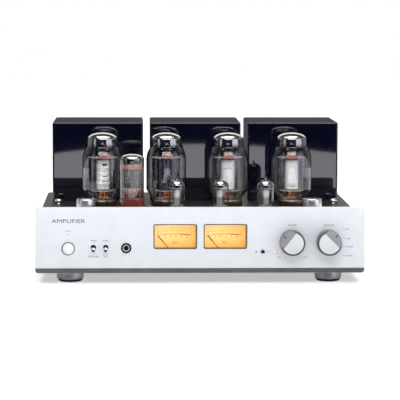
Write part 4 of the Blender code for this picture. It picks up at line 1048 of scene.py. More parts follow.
# -------------------------------------------------------------------- meters
LIP_W, LIP_H = 56.4, 32.4
for side, mx in (("left", MET_X[0]), ("right", MET_X[1])):
    b = Build()
    b.box((mx - 31.0, 8.3, 31.5), (mx + 31.0, 33.0, 81.6), PLASTIC, 0.6)
    case = b.done("meter_%s_housing" % side, replaces=("meter_case_" + side,))
    c = Build()
    c.prism(rounded(LIP_W - 2.2, LIP_H - 2.2, 1.5, 6, mx, MET_Z), -13.0, 5, PLASTIC, m=TO_FRONT)
    cut(case, c, "meter_cutter")
    c = Build()
    c.box((mx - 27.0, 8.8, 33.4), (mx + 27.0, 13.0, 50.0), PLASTIC)
    cut(case, c, "meter_well_cutter")
    # the frame line that shows round the glass
    b = Build()
    out = rounded(LIP_W, LIP_H, 2.5, 8, mx, MET_Z)
    inn = rounded(LIP_W - 2.2, LIP_H - 2.2, 1.5, 8, mx, MET_Z)
    b.faces([[(x, 0.75, z) for x, z in out], [(x, 8.25, z) for x, z in out], [(x, 8.25, z) for x, z in inn],
             [(x, 0.95, z) for x, z in inn], [((x + x2) / 2, 0.6, (z + z2) / 2) for (x, z), (x2, z2) in zip(out, inn)]], BEZEL, loop=True)
    b.done("meter_%s_frame" % side)
    # dial card
    b = Build()
    b.prism([(-26.9, -16.6), (26.9, -16.6)] + rounded(53.9, 29.9, 1.3, 6)[:14], -0.15, 0.15, DIAL)
    dial = place(b.mesh("meter_%s_dial" % side), "meter_%s_dial" % side, "root", (), (mx, 12.75, MET_Z))
    dial.data.transform(TO_FRONT)
    # printed scale
    b = Build()
    RA, CZ = 150.0, 64.6 - 150.0 - MET_Z
    yb, yf = -0.17, -0.22

    def on_arc(x, dr):
        t = math.asin(x / RA)
        return (RA + dr) * math.sin(t), CZ + (RA + dr) * math.cos(t)

    b.ribbon([on_arc(-21.5 + 43.0 * k / 40, 0) for k in range(41)], 0.22, yb, yf, DIAL_INK)
    xs = [-21.0, -15.5, -12.2, -8.9, -4.6, -1.6, 1.8, 5.6, 9.8, 14.6, 20.0]
    for k, x in enumerate(xs):
        b.ribbon([on_arc(x, 0.2), on_arc(x * 1.015, 2.0)], 0.16, yb, yf, DIAL_RED if k >= 7 else DIAL_INK)
        if k + 1 < len(xs):
            for j in (1, 2, 3):
                xm = x + (xs[k + 1] - x) * j / 4
                b.ribbon([on_arc(xm, 0.2), on_arc(xm * 1.01, 1.1)], 0.09, yb, yf, DIAL_RED if k >= 7 else DIAL_INK)
    b.ribbon([on_arc(5.6 + 14.6 * k / 16, 0.5) for k in range(17)], 0.32, yb - 0.01, yf, DIAL_RED)
    for x, s in zip(xs, ("20", "10", "7", "5", "3", "2", "1", "0", "1", "2", "3")):
        px, pz = on_arc(x * 1.03, 4.1)
        b.text(s, 2.5, DIAL_RED if s == "0" or x > 6 else DIAL_INK, shift(px, yb, pz) @ TO_FRONT, thick=0.05, bold=0.02)
    for k, s in enumerate(("0", "20", "40", "60", "80", "100")):
        x = -20.5 + 7.2 * k
        px, pz = on_arc(x, -3.0)
        b.text(s, 2.2, DIAL_INK, shift(px, yb, pz) @ TO_FRONT, thick=0.05, bold=0.02)
        b.ribbon([on_arc(x, -0.2), on_arc(x, -1.3)], 0.12, yb, yf, DIAL_INK)
    b.text("VU", 4.6, DIAL_INK, shift(-0.6, yb, 53.7 - MET_Z) @ TO_FRONT, thick=0.05, bold=0.06)
    b.done("meter_%s_scale" % side, origin=(mx, 12.75, MET_Z))
    # glass
    b = Build()
    b.prism(rounded(53.6, 29.6, 1.4, 6), 0, 0, WINDOW, m=TO_FRONT, levels=[(-2.7, 1.0), (-1.4, 1.0), (-1.2, 0.994)])
    b.done("meter_%s_glass" % side, replaces=("meter_window_" + side,), origin=(mx, 0, MET_Z))
    # needle
    a = math.radians(41.3)
    hub = Matrix.Rotation(-a, 4, 'Y')
    b = Build()
    b.lathe([(1.12, 0.45), (2.5, 0.45), (2.6, 0.3), (2.6, -0.3), (2.5, -0.45), (1.12, -0.45)], NEEDLE, m=TO_FRONT, segs=36, loop=True)
    b.faces([[(-w, -t, z), (w, -t, z), (w, t, z), (-w, t, z)] for w, t, z in
             ((0.55, 0.30, -3.4), (0.50, 0.30, -2.6), (0.42, 0.26, 2.0), (0.36, 0.22, 22.0), (0.52, 0.24, 24.0), (0.60, 0.24, 28.0), (0.46, 0.20, 34.0), (0.14, 0.12, 36.6))],
            NEEDLE, m=hub)
    bmesh.ops.holes_fill(b.bm, edges=list(b.bm.edges), sides=4)
    b.done("meter_%s_pointer" % side, "needle_" + side, ("meter_needle_" + side,), origin=(mx, 10.7, PIVOT_Z))
    b = Build()
    b.lathe([(0, -0.55), (0.5, -0.57), (0.72, -0.75), (0.72, -2.0), (0, -2.0)], STEELB, m=TO_FRONT, segs=24)
    b.done("meter_%s_pivot_pin" % side, origin=(mx, 10.7, PIVOT_Z))

# ---------------------------------------------------------------- power tubes
# painted highlight: a near-white copy of the anode metal stands in for the softbox reflection on the anode fronts
ANODE_PAINTED_HIGHLIGHT = anode_grey("anode_painted_highlight", (0.80, 0.79, 0.78), (0.90, 0.89, 0.875), 0.34, 0.48, metallic=0.25)
ANODE_FIN = anode_grey("blued_anode_fin", (0.075, 0.080, 0.105), (0.13, 0.135, 0.165), 0.22, 0.36)
ANODE_MINI = anode_grey("mini_anode", (0.66, 0.66, 0.66), (0.78, 0.78, 0.78), 0.30, 0.42, metallic=0.8)
FLAG = metal("pale_copper_flag", (0.66, 0.25, 0.15), (0.84, 0.38, 0.25), 0.22, 0.36, grain=900.0, strength=0.1, metallic=0.6)
GETTER_CUP = metal("browned_getter_ring", (0.16, 0.075, 0.05), (0.26, 0.13, 0.09), 0.25, 0.4, grain=900.0, strength=0.1)
DARK_BASE = moulded("dark_bakelite", (0.014, 0.006, 0.004), (0.040, 0.014, 0.009), 0.12, 0.22, grain=160.0, strength=0.06, coat=0.5)

BULB = (elliptic(20.9, 9.4, 180.0, 12)
        + spline([(20.9, 180.0), (20.9, 176.0), (20.9, 171.5), (21.4, 169.4), (23.4, 166.4), (25.4, 162.2), (26.6, 158.0), (27.2, 153.0)], 4)[1:]
        + [(27.2, 140.0), (27.2, 126.0)]
        + spline([(27.2, 113.5), (26.9, 111.2), (25.6, 108.4), (22.4, 104.0), (19.3, 100.0), (18.1, 98.3), (17.9, 97.0)], 4)
        + [(17.9, 92.8)])


def bulb_shell(b, prof, wall, mat, segs):
    inner = offset(prof, wall)
    inner[-1] = (prof[-1][0] - wall, prof[-1][1])
    b.lathe(list(prof) + list(reversed(inner)), mat, segs=segs)


def mirror_shell(b, prof, gap, z_edge, mat, segs):
    top = [p for p in offset(prof, gap) if p[1] > z_edge]
    top.append((top[-1][0], z_edge))
    inner = offset(top, 0.16)
    inner[-1] = (top[-1][0] - 0.16, z_edge + 0.03)
    b.lathe(top + list(reversed(inner)), mat, segs=segs)


def mica_disc(b, r, z0, z1, teeth, mat, m=None, holes=()):
    pts = []
    for k in range(teeth):
        a = 2 * math.pi * k / teeth
        for da, dr in ((0.0, 0.0), (0.25, 0.0), (0.33, -1.4), (0.92, -1.4)):
            t = a + da * 2 * math.pi / teeth
            pts.append(((r + dr) * math.cos(t), (r + dr) * math.sin(t)))
    b.prism(pts, z0, z1, mat, m=m)


def ovalish(a, bb, p=2.6, n=48):
    out = []
    for k in range(n):
        t = 2 * math.pi * k / n
        c_, s_ = math.cos(t), math.sin(t)
        out.append((a * abs(c_) ** (2 / p) * (1 if c_ >= 0 else -1), bb * abs(s_) ** (2 / p) * (1 if s_ >= 0 else -1)))
    return out


def ribbed(z0, z1, ribs, amount=0.035):
    lv = [(z0, 0.985), (z0 + 0.5, 1.0)]
    for z in ribs:
        lv += [(z - 0.9, 1.0), (z - 0.45, 1.0 + amount * 0.8), (z, 1.0 + amount), (z + 0.45, 1.0 + amount * 0.8), (z + 0.9, 1.0)]
    return lv + [(z1 - 0.5, 1.0), (z1, 0.985)]


def power_tube(i, tx, ty, turn, face, slots, flag_x, beads=()):
    nm = "power_tube_%d" % i
    o = (tx, ty, 0)
    b = Build()
    bulb_shell(b, BULB, 1.0, GLASS, 112)
    b.done(nm + "_glass", replaces=(nm + "_bulb",), origin=o)
    b = Build()
    mirror_shell(b, BULB, 1.12, 171.2, GETTER_BIG, 96)
    b.done(nm + "_getter_mirror", origin=o)

    R = Matrix.Rotation(math.radians(turn), 4, 'Z')
    b = Build()
    # anode: an oval box with a side fin each way, and stiffening beads
    b.prism(ovalish(9.3, 8.3), 0, 0, face, m=R, levels=ribbed(111.6, 151.8, beads))
    for sx in (-1, 1):
        b.box((9.35 if sx > 0 else -16.2, -0.55, 112.2), (16.2 if sx > 0 else -9.35, 0.55, 151.2), ANODE_FIN, 0.2, m=R)
        b.box((11.2 * sx - 0.7, -1.4, 113.5), (11.2 * sx + 0.7, -0.58, 150.0), ANODE_FIN, 0.2, m=R)
        b.box((14.4 * sx - 0.5, -1.1, 113.5), (14.4 * sx + 0.5, -0.58, 150.0), ANODE, 0.2, m=R)
    for z, w, h in slots:
        b.box((-w / 2, -8.75, z - h / 2), (w / 2, -8.22, z + h / 2), PLASTIC, 0.12, m=R)
    # supports and grids
    for x in (-12.6, 12.6):
        b.rod((x, 2.2, 100.5), (x, 2.2, 157.4), 0.85, NICKEL, 14, m=R)
    for y in (-10.6, 10.6):
        for x in (-3.4, 3.4):
            b.rod((x * 3.1, y * 0.28, 103.0), (x * 3.1, y * 0.28, 158.6), 0.5, NICKEL, 12, m=R)
        b.box((-4.4, y - 0.5 * (1 if y > 0 else -1) - 0.25, 153.0), (4.4, y + 0.25, 154.8), FLAG, 0.1, m=R)
    mica_disc(b, 19.3, 155.0, 155.7, 14, MICA, m=R)
    mica_disc(b, 16.2, 109.2, 109.9, 12, MICA, m=R)
    b.prism(ovalish(13.5, 7.0), 155.75, 156.2, MICA, m=R)
    # copper flags and welded straps above the upper mica
    for x, y, w, h in ((flag_x, -9.0, 7.2, 3.3), (flag_x - 6.0, -9.6, 3.6, 2.2), (flag_x + 5.4, -7.8, 3.0, 2.9), (flag_x + 1.5, 8.6, 7.0, 3.0)):
        b.box((x - w / 2, y - 0.3, 156.25), (x + w / 2, y + 0.3, 156.25 + h), FLAG, 0.15)
        b.box((x - w / 2, y - 0.3, 156.22), (x + w / 2, y + 2.6, 156.7), FLAG, 0.15)
    b.rod((-2.6, 0, 110.4), (-2.6, 0, 158.4), 0.55, EMBER, 12, m=R)
    b.rod((2.6, 0, 110.4), (2.6, 0, 158.4), 0.55, EMBER, 12, m=R)
    # getter ring on its two wires
    b.path([(5.4 * math.cos(t * math.pi / 12), 5.4 * math.sin(t * math.pi / 12) - 4.0, 168.2) for t in range(24)], 0.85, GETTER_CUP, 12, closed=True)
    b.path([(-3.2, -7.2, 156.0), (-3.4, -7.8, 161.5), (-3.6, -8.2, 167.6)], 0.4, NICKEL, 10)
    b.path([(3.2, -7.2, 156.0), (3.4, -7.8, 161.5), (3.6, -8.2, 167.6)], 0.4, NICKEL, 10)
    # stem press and lead wires under the lower mica
    b.lathe([(0, 99.6), (5.6, 99.4), (6.6, 98.2), (7.0, 96.0), (8.8, 94.4), (14.2, 93.6), (14.2, 92.9), (0, 92.9)], STEM_GLASS, segs=48)
    n = 10
    for k in range(n):
        a = 2 * math.pi * (k + 0.35) / n
        r1, r2 = 5.2, 11.5 if k % 2 else 8.6
        b.path([(r1 * math.cos(a), r1 * math.sin(a), 95.5), ((r1 + 0.6) * math.cos(a), (r1 + 0.6) * math.sin(a), 101.0),
                (r2 * math.cos(a + 0.22), r2 * math.sin(a + 0.22), 105.0), (r2 * math.cos(a + 0.25), r2 * math.sin(a + 0.25), 109.4)], 0.55, COPPER if k % 3 else NICKEL, 10)
        b.box((-1.3, -0.3, 0), (1.3, 0.3, 2.4), COPPER if k % 2 else FLAG, 0.12,
              m=shift(r2 * math.cos(a + 0.22), r2 * math.sin(a + 0.22), 104.4) @ Matrix.Rotation(a + 0.9, 4, 'Z') @ Matrix.Rotation(0.4, 4, 'X'))
    for k in range(6):
        a = 2 * math.pi * k / 6 + 0.4
        b.rod((3.6 * math.cos(a), 3.6 * math.sin(a), 100.2), (3.0 * math.cos(a + 0.5), 3.0 * math.sin(a + 0.5), 108.9), 0.6, HEATER if k % 2 else EMBER, 10)
    b.done(nm + "_cage", replaces=(nm + "_electrodes",), origin=o)

    # base with its plated rim
    b = Build()
    b.lathe([(18.05, 92.2), (18.05, 96.4), (18.35, 96.75), (18.6, 96.75), (19.3, 96.2), (19.75, 95.2), (19.8, 94.0), (19.8, 90.2), (19.6, 89.4), (19.0, 88.6), (12.0, 88.6), (12.0, 92.2)], DARK_BASE, segs=96, loop=True)
    for k in range(36):
        a = 2 * math.pi * k / 36
        b.box((-0.55, -0.28, 89.8), (0.55, 0.28, 94.2), DARK_BASE, 0.15, m=Matrix.Rotation(a, 4, 'Z') @ shift(0, -19.82, 0) )
    b.done(nm + "_socket_base", replaces=(nm + "_base",), origin=o)
    b = Build()
    b.lathe([(18.05, 97.3), (18.25, 97.6), (18.9, 97.5), (19.5, 96.95), (19.75, 96.3), (19.72, 96.05), (19.35, 96.25), (18.62, 96.8), (18.32, 96.82), (18.05, 96.5)], GOLD_RING, segs=96, loop=True)
    b.done(nm + "_plated_rim", origin=o)


# tubes 1, 3 and 4 take the painted highlight anode; tube 2 the dark one
power_tube(1, *TUBES[0], 24.0, ANODE_PAINTED_HIGHLIGHT, ((145.5, 7.0, 2.6), (129.4, 6.4, 1.4), (123.0, 7.5, 1.1), (136.4, 5.0, 0.7)), 4.0, (119.0, 126.0, 133.0, 141.0, 148.6))
power_tube(2, *TUBES[1], 58.0, ANODE_FIN, ((146.0, 5.0, 1.4),), 2.0, (131.5,))
power_tube(3, *TUBES[2], -6.0, ANODE_PAINTED_HIGHLIGHT, ((139.8, 10.0, 0.6),), 2.0)
power_tube(4, *TUBES[3], 8.0, ANODE_PAINTED_HIGHLIGHT, ((116.2, 8.0, 0.7),), 0.0)

# ------------------------------------------------------------- rectifier tube
ox, oy = OCTAL[0], OCTAL[1]
OCT = (elliptic(16.4, 6.6, 158.2, 10) + [(16.4, 157.0), (16.3, 150.0), (16.0, 138.0), (16.0, 124.0), (16.0, 112.0), (16.0, 104.6)])
o = (ox, oy, 0)
b = Build()
bulb_shell(b, OCT, 1.0, GLASS, 96)
b.done("rectifier_tube_glass", replaces=("rectifier_tube_bulb",), origin=o)
b = Build()
mirror_shell(b, OCT, 1.12, 154.4, GETTER_OCTAL, 80)
b.done("rectifier_tube_getter_mirror", origin=o)
b = Build()
for sx in (-1, 1):
    b.prism(ovalish(4.5, 6.6, 3.0), 0, 0, ANODE, m=shift(5.7 * sx, 0, 0), levels=ribbed(120.2, 143.2, (126.0, 131.7, 137.4), 0.05))
    b.box((5.7 * sx - 0.35, -9.4, 121.0), (5.7 * sx + 0.35, -6.65, 142.4), ANODE, 0.15)
    b.rod((5.7 * sx, 0, 107.4), (5.7 * sx, 0, 146.8), 0.8, EMBER, 14)
for x in (-11.0, 11.0):
    b.rod((x, -2.0, 104.0), (x, -2.0, 146.4), 0.75, NICKEL, 14)
b.rod((0, -7.5, 104.0), (0, -7.5, 146.4), 0.6, NICKEL, 12)
mica_disc(b, 13.2, 144.7, 145.2, 12, MICA)
mica_disc(b, 13.2, 118.0, 118.5, 12, MICA)
for k in range(16):
    a = 2 * math.pi * k / 16
    b.box((-2.3, -0.3, 0.1), (2.3, 0.3, 5.4 + 0.9 * (k % 2)), FLAG, 0.2, m=Matrix.Rotation(a, 4, 'Z') @ shift(0, -12.6, 145.2) @ Matrix.Rotation(0.12, 4, 'X'))
b.path([(6.2 * math.cos(t * math.pi / 12), 6.2 * math.sin(t * math.pi / 12), 151.0) for t in range(24)], 1.0, GETTER_CUP, 12, closed=True)
b.lathe([(0, 109.4), (6.4, 109.2), (7.2, 107.6), (7.6, 105.8), (12.6, 105.4), (12.6, 104.8), (0, 104.8)], STEM_GLASS, segs=48)
for k in range(14):
    a = 2 * math.pi * (k + 0.3) / 14
    r1, r2 = 6.0, 11.6 if k % 2 else 8.8
    b.path([(r1 * math.cos(a), r1 * math.sin(a), 106.0), ((r1 + 1.2) * math.cos(a), (r1 + 1.2) * math.sin(a), 110.2),
            (r2 * math.cos(a + 0.2), r2 * math.sin(a + 0.2), 114.0), (r2 * math.cos(a + 0.22), r2 * math.sin(a + 0.22), 118.0)], 0.6, COPPER if k % 3 else FLAG, 10)
b.path([(11.2 * math.cos(t * math.pi / 18), 11.2 * math.sin(t * math.pi / 18), 115.6) for t in range(36)], 0.8, FLAG, 10, closed=True)
b.path([(9.6 * math.cos(t * math.pi / 18), 9.6 * math.sin(t * math.pi / 18), 111.0) for t in range(36)], 0.8, COPPER, 10, closed=True)
for k in range(6):
    a = 2 * math.pi * k / 6 + 0.2
    b.rod((4.6 * math.cos(a), 4.6 * math.sin(a), 109.6), (3.8 * math.cos(a + 0.4), 3.8 * math.sin(a + 0.4), 117.6), 0.7, HEATER, 10)
b.done("rectifier_tube_cage", replaces=("rectifier_tube_electrodes",), origin=o)
b = Build()
b.lathe([(16.15, 103.4), (16.15, 105.8), (16.35, 106.2), (16.6, 105.9), (16.7, 105.2), (16.7, 90.0), (16.4, 89.0), (15.8, 88.6), (9.0, 88.6), (9.0, 103.4)], RED_BASE, segs=96, loop=True)
b.done("rectifier_tube_octal_base", replaces=("rectifier_tube_base",), origin=o)

# ---------------------------------------------------------------- small tubes
MINI = (spline([(0, 134.0), (0.8, 133.6), (1.05, 132.4), (1.2, 130.9), (2.2, 129.9), (5.0, 129.0), (8.0, 127.4), (10.2, 125.0), (11.1, 122.4), (11.3, 119.8)], 4)
        + [(11.3, 112.0), (11.3, 102.0), (11.3, 93.0), (11.1, 90.6), (10.4, 89.2)])
TURN = [Matrix.Rotation(math.radians(a), 4, "Z") for a in (84.0, 70.0, 96.0)]
for k, (mx, my) in enumerate([(m_[0], m_[1]) for m_ in MINIS]):
    nm = "driver_tube_%d" % (k + 1)
    o = (mx, my, 0)
    b = Build()
    inner = [p for p in offset(MINI[8:], 0.9)]
    inner[-1] = (8.4, 90.0)
    b.lathe(MINI + list(reversed([(0, inner[0][1])] + inner)), GLASS, segs=72)
    b.done(nm + "_glass", replaces=(nm + "_bulb",), origin=o)
    b = Build()
    cap = [(0.01, 128.3)] + [(max(r - 1.1, 0.02), z - 0.55) for r, z in MINI if r > 2.4 and z > 121.5]
    inn = [(max(r - 0.16, 0.0), z - 0.16) for r, z in cap]
    inn[0] = (0, 128.1)
    cap[0] = (0, 128.3)
    b.lathe(cap + list(reversed(inn)), GETTER_MINI, segs=56)
    b.done(nm + "_getter_mirror", origin=o)
    b = Build()
    for sx in (-1, 1):
        b.prism(ovalish(2.6, 3.7, 2.6, 36), 0, 0, ANODE_MINI, m=TURN[k] @ shift(3.05 * sx, 0, 0), levels=ribbed(97.0, 116.2, (106.6,), 0.05))
    b.box((-0.02, -5.6, 97.0), (0.02, 5.6, 116.0), NICKEL, m=TURN[k])
    b.lathe([(0, 119.2), (7.2, 119.2), (8.6, 118.9), (8.6, 118.4), (0, 118.4)], MICA, segs=36)
    b.lathe([(0, 95.6), (8.6, 95.6), (8.6, 95.1), (0, 95.1)], MICA, segs=36)
    for j in range(9):
        a = 2 * math.pi * (j + 0.5) / 10 + math.pi / 2
        b.rod((5.9 * math.cos(a), 5.9 * math.sin(a), 90.4), (4.6 * math.cos(a), 4.6 * math.sin(a), 95.3), 0.5, NICKEL if j % 2 else COPPER, 10)
    b.path([(3.4 * math.cos(t * math.pi / 8), 3.4 * math.sin(t * math.pi / 8), 123.0) for t in range(16)], 0.55, GETTER_CUP, 10, closed=True)
    b.rod((0, 0, 119.0), (3.3, 0, 122.8), 0.35, NICKEL, 8)
    b.rod((-0.8, -1.0, 92.0), (-0.8, -1.0, 96.3), 0.6, HEATER, 10)
    b.done(nm + "_cage", replaces=(nm + "_electrodes",), origin=o)
    b = Build()
    b.lathe([(13.4, 88.9), (13.6, 88.7), (13.6, 88.15), (11.45, 88.15), (11.45, 88.7), (11.65, 88.9)], STEELB, segs=64, loop=True)
    b.done(nm + "_deck_collar", origin=o)

# --------------------------------------------------------- transformer covers
COVERS = {}
for tag in ("left", "center", "right"):
    lo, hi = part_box("transformer_cover_" + tag)
    lo = [v / MM for v in (lo.x, lo.y - Y0, lo.z)]
    hi = [v / MM for v in (hi.x, hi.y - Y0, hi.z)]
    COVERS[tag] = (lo, hi)
    b = Build()
    b.box(lo, hi, LACQUER)
    bm2 = b.bm
    edges = [e for e in bm2.edges if not all(v.co.z < lo[2] + 0.01 for v in e.verts)]
    bmesh.ops.bevel(bm2, geom=edges, offset=2.4, offset_type='OFFSET', segments=7, profile=0.5, affect='EDGES', clamp_overlap=True)
    ob = b.done("transformer_cover_%s_shell" % tag, replaces=("transformer_cover_" + tag,))
    c = Build()
    c.box((lo[0] + 1.5, lo[1] + 1.5, lo[2] - 10), (hi[0] - 1.5, hi[1] - 1.5, hi[2] - 1.5), LACQUER)
    cut(ob, c, "cover_cutter")
    for q in ob.data.polygons:
        if q.area > 6.0e-5:
            q.use_smooth = False
    # countersunk screws low on the back and the sides
    b = Build()
    screw = [(0, 0.55), (1.3, 0.5), (1.75, 0.3), (1.9, 0.04), (1.9, -1.4), (0, -1.4)]
    for sx in (-1, 1):
        for y in (lo[1] + 22, hi[1] - 22):
            x = hi[0] if sx > 0 else lo[0]
            mm = shift(x, y, 96.5) @ Matrix.Rotation(math.radians(90.0 * sx), 4, 'Y')
            b.lathe(screw, STEELB, m=mm, segs=24)
        mm = shift((lo[0] + hi[0]) / 2 + sx * 44, hi[1], 96.5) @ TO_REAR
        b.lathe(screw, STEELB, m=mm, segs=24)
    b.done("transformer_cover_%s_screws" % tag)

# ------------------------------------------------------ caps and guard pins
bl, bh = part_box("bias_cap_left")
CAP_TOP, CAP_LOW = bh.z / MM, bl.z / MM
for tag, sx in (("left", -1), ("right", 1)):
    cx_, cy_, _ = mid("bias_cap_" + tag)
    b = Build()
    b.lathe([(0, CAP_TOP - 0.25), (3.2, CAP_TOP - 0.22), (9.6, CAP_TOP - 0.12), (10.9, CAP_TOP), (11.5, CAP_TOP - 0.06), (12.0, CAP_TOP - 0.32), (12.36, CAP_TOP - 0.8), (12.5, CAP_TOP - 1.4),
             (12.5, CAP_LOW + 1.2), (12.42, CAP_LOW + 0.5), (12.2, CAP_LOW + 0.08), (11.2, CAP_LOW), (10.9, CAP_LOW + 0.3), (10.9, CAP_TOP - 2.6), (10.2, CAP_TOP - 1.9), (0, CAP_TOP - 1.9)], CAP_METAL, segs=96)
    b.done("bias_cap_%s_cup" % tag, "bias_cap_" + tag, ("bias_cap_" + tag,), origin=(cx_, cy_, 0))
    b = Build()
    b.lathe([(0, 93.4), (3.0, 93.2), (3.4, 92.6), (3.4, 88.9), (4.4, 88.7), (4.4, 84.0), (0, 84.0)], PLASTIC, segs=40)
    b.box((-2.4, -0.35, 93.38), (2.4, 0.35, 93.9), GOLD, 0.1)
    b.lathe([(4.55, 88.9), (9.6, 88.9), (9.8, 88.7), (9.8, 88.15), (4.55, 88.15)], STEELB, segs=56, loop=True)
    b.done("bias_trimmer_" + tag, origin=(cx_, cy_, 0))
    px, py, _ = mid("guard_pin_" + tag)
    b = Build()
    b.lathe(spline([(0, 95.2), (1.8, 95.05), (3.4, 94.6), (4.7, 93.7), (5.3, 92.7), (5.4, 91.9), (5.25, 91.1), (4.8, 90.5), (4.2, 90.2)], 4)
            + [(2.5, 90.15), (2.2, 89.9), (2.2, 88.9), (3.9, 88.75), (4.0, 88.45), (0, 88.4)], CHROME, segs=64)
    b.done("guard_pin_%s_stud" % tag, replaces=("guard_pin_" + tag,), origin=(px, py, 0))

# --------------------------------------------------------------------- feet
fl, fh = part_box("foot_front_left")
F_TOP, F_R = fh.z / MM, (fh.x - fl.x) / MM / 2
for tag in ("front_left", "front_right", "rear_left", "rear_right"):
    fx_, fy_, _ = mid("foot_" + tag)
    b = Build()
    b.lathe([(0, F_TOP), (F_R - 0.9, F_TOP), (F_R - 0.3, F_TOP - 0.25), (F_R, F_TOP - 0.8), (F_R, 10.6), (F_R - 0.35, 10.3), (F_R - 0.35, 9.9), (F_R, 9.6), (F_R, 5.2), (F_R - 0.25, 4.3),
             (F_R - 0.8, 3.6), (F_R - 1.6, 3.3), (0, 3.3)], FOOT, segs=112)
    b.lathe([(0, 3.25), (F_R - 1.7, 3.25), (F_R - 1.35, 2.8), (F_R - 1.5, 1.7), (F_R - 2.4, 0.8), (F_R - 4.0, 0.0), (9.0, 0.0), (8.6, 0.4), (8.6, 1.4), (0, 1.4)], RUBBER, segs=80)
    b.done("foot_%s_turned" % tag, replaces=("foot_" + tag,), origin=(fx_, fy_, 0))

# -------------------------------------------------- chassis screws and trims
b = Build()
pan = [(0, 1.25), (1.5, 1.15), (2.4, 0.75), (2.75, 0.1), (2.75, -1.2), (0, -1.2)]


def screw_at(m, s=1.0, mat=STEELB):
    b.lathe([(r * s, z * s) for r, z in pan], mat, m=m, segs=28)
    for a in (0, 90):
        b.box((-1.35 * s, -0.22 * s, 1.02 * s), (1.35 * s, 0.22 * s, 1.27 * s), PLASTIC, m=m @ Matrix.Rotation(math.radians(a), 4, 'Z'))


for sx in (-1, 1):
    for y in (40, 128, 216, 304):
        screw_at(shift(sx * CHASSIS_HALF, y, 24.0) @ Matrix.Rotation(math.radians(90.0 * sx), 4, 'Y'))
    for y in (60, 284):
        screw_at(shift(sx * CHASSIS_HALF, y, 78.0) @ Matrix.Rotation(math.radians(90.0 * sx), 4, 'Y'))
for x in (-200, -110, 110, 200):
    screw_at(shift(x, BACK, 78.0) @ TO_REAR)
for x in (-150, -50, 50, 150):
    for y in (28, 330):
        screw_at(shift(x, y, PZ0) @ Matrix.Rotation(math.radians(180), 4, 'X'))
b.done("chassis_screws")

# a thin plated ring round each power tube hole
for i, (tx, ty) in enumerate(TUBES):
    b = Build()
    b.lathe([(21.6, 88.35), (24.2, 88.35), (24.6, 88.2), (24.6, 88.12), (21.2, 88.12), (21.2, 88.25)], STEELB, segs=96, loop=True)
    b.done("power_tube_%d_deck_ring" % (i + 1), origin=(tx, ty, 0))

# ------------------------------------------------------------- the back face
Y_B = BACK
# speaker posts
b = Build()
b.box((-94, Y_B + 0.3, 37), (94, Y_B + 3.3, 63), PLASTIC, 0.6)
for x in (-89.5, 89.5):
    screw_at(shift(x, Y_B + 3.3, 50) @ TO_REAR, 0.8)
POSTS = (-80.0, -56.0, -32.0, 32.0, 56.0, 80.0)
for k, x in enumerate(POSTS):
    cap = RED_CAP if k % 3 else GLOSS_BLACK
    m_ = shift(x, Y_B, 50.0) @ TO_REAR
    b.lathe([(0, 8.6), (2.7, 8.6), (2.7, -6.0), (0, -6.0)], GOLD, m=m_, segs=28)
    b.lathe([(2.8, 8.0), (4.9, 8.0), (5.1, 7.6), (5.1, 3.4), (2.8, 3.4)], cap, m=m_, segs=40, loop=True)
    flutes = []
    for j in range(72):
        a = 2 * math.pi * j / 72
        rr = 6.45 - (0.32 if j % 6 < 2 else 0.0)
        flutes.append((rr * math.cos(a), rr * math.sin(a)))
    b.prism(flutes, 0, 0, cap, m=m_, levels=[(8.7, 0.95), (9.1, 1.0), (15.4, 1.0), (18.9, 0.97), (19.7, 0.93), (19.95, 0.84)])
    b.lathe([(0, 20.2), (1.9, 20.2), (2.1, 19.96), (3.6, 19.96), (3.6, 19.4), (0, 19.4)], GOLD, m=m_, segs=32)
for k, (x, s) in enumerate(zip(POSTS, ("0", "4", "8", "0", "4", "8"))):
    b.text(s, 4.0, INK_PALE, shift(x, Y_B + 3.32, 41.0) @ Matrix.Rotation(math.pi, 4, 'Z') @ TO_FRONT)
b.done("speaker_posts", replaces=("speaker_terminal_strip",))
# input jacks
b = Build()
lo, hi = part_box("input_jack_strip")
x0, x1, z0, z1 = lo.x / MM, hi.x / MM, lo.z / MM, hi.z / MM
b.box((x0, Y_B + 0.3, z0), (x1, Y_B + 2.8, z1), PLASTIC, 0.5)
XS = [x0 + 11 + (x1 - x0 - 22) * k / 3 for k in range(4)]
for x in XS:
    for z, col in ((42.0, RED_CAP), (60.0, WHITE_CAP)):
        m_ = shift(x, Y_B, z) @ TO_REAR
        b.lathe([(3.35, 2.9), (5.0, 2.9), (5.15, 3.2), (5.15, 5.0), (4.9, 5.4), (3.35, 5.4)], GOLD, m=m_, segs=6, loop=True)
        b.lathe([(2.35, 13.0), (2.55, 13.2), (3.1, 13.2), (3.3, 12.9), (3.3, -4.5), (2.35, -4.5)], GOLD, m=m_, segs=48, loop=True)
        b.lathe([(1.6, 12.2), (2.3, 12.2), (2.3, 3.0), (0, 3.0), (0, 4.0), (1.6, 4.0)], col, m=m_, segs=40)
for x in (x0 + 4.2, x1 - 4.2):
    screw_at(shift(x, Y_B + 2.8, (z0 + z1) / 2) @ TO_REAR, 0.7)
for k, x in enumerate(reversed(XS)):
    b.text(str(k + 1), 3.4, INK_PALE, shift(x, Y_B + 2.82, 51.0) @ Matrix.Rotation(math.pi, 4, 'Z') @ TO_FRONT)
b.done("input_jacks", replaces=("input_jack_strip",))
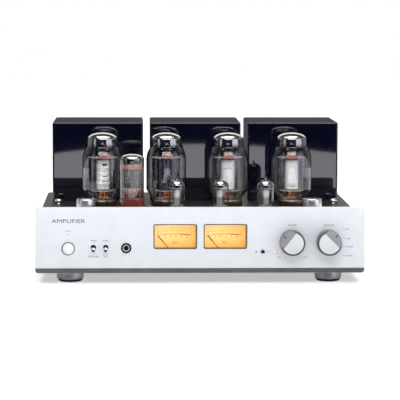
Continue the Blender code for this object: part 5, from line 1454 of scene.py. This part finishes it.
# mains inlet
b = Build()
outl = rounded(50.0, 25.6, 5.0, 8, 0, 0)
hole = rounded(24.4, 16.4, 2.6, 8, 0, 0)
m_ = shift(150.0, Y_B, 50.0) @ TO_REAR
b.faces([[(x, z, 0.35) for x, z in outl], [(x, z, 2.7) for x, z in outl], [(x * 0.985, z * 0.97, 3.3) for x, z in outl],
         [(x * 1.04, z * 1.06, 3.3) for x, z in hole], [(x, z, 2.9) for x, z in hole], [(x, z, -13.4) for x, z in hole],
         [(x * 0.02, z * 0.02, -13.4) for x, z in hole], [(x * 0.02, z * 0.02, -18.9) for x, z in hole], [(x * 1.135, z * 1.26, -18.9) for x, z in hole], [(x * 1.135, z * 1.26, 0.35) for x, z in hole]],
        PLASTIC, loop=True, m=m_)
b.box((-2, -2, -18.5), (2, 2, -13.6), PLASTIC, m=m_)
for dx, dz in ((-7.0, 2.0), (0.0, -2.0), (7.0, 2.0)):
    b.box((dx - 1.0, dz - 2.0, -13.3), (dx + 1.0, dz + 2.0, -4.6), STEELB, 0.3, m=m_)
for x in (130.0, 170.0):
    screw_at(shift(x, Y_B + 3.3, 50) @ TO_REAR, 0.8)
b.done("mains_inlet_socket", replaces=("iec_inlet",))
# generic markings on the back
b = Build()
for s, x, z in (("SPEAKER R", -56, 68.0), ("SPEAKER L", 56, 68.0), ("INPUT", -160, 76.0), ("MAINS", 150, 68.0)):
    b.text(s, 4.0, INK_PALE, shift(x, Y_B + 0.02, z) @ Matrix.Rotation(math.pi, 4, 'Z') @ TO_FRONT)
b.done("rear_markings")

# ------------------------------------------------- finishes for the CAD pieces
FINISH = {
    "panel_aluminium": ALU, "chassis_paint": COAT, "cover_lacquer": LACQUER, "foot_metal": FOOT,
    "transformer_iron": CORE, "tube_glass": GLASS, "tube_base": BAKELITE, "octal_base": RED_BASE,
    "electrode_metal": ANODE, "circuit_board": BOARD, "chrome": CHROME, "knob_aluminium": KNOB_RIM_PAINTED_SHADE,
    "black_plastic": PLASTIC, "clear_acrylic": WINDOW, "needle_paint": NEEDLE,
}
for part in frame["record"]["subparts"]:
    ob = NODES[part["node"]]
    if ob.hide_render:
        continue
    me = ob.data
    me.materials.clear()
    me.materials.append(FINISH[part["material_slot"]])
    for p in me.polygons:
        p.material_index = 0
    me.shade_smooth()
    me.set_sharp_from_angle(angle=math.radians(35.0))
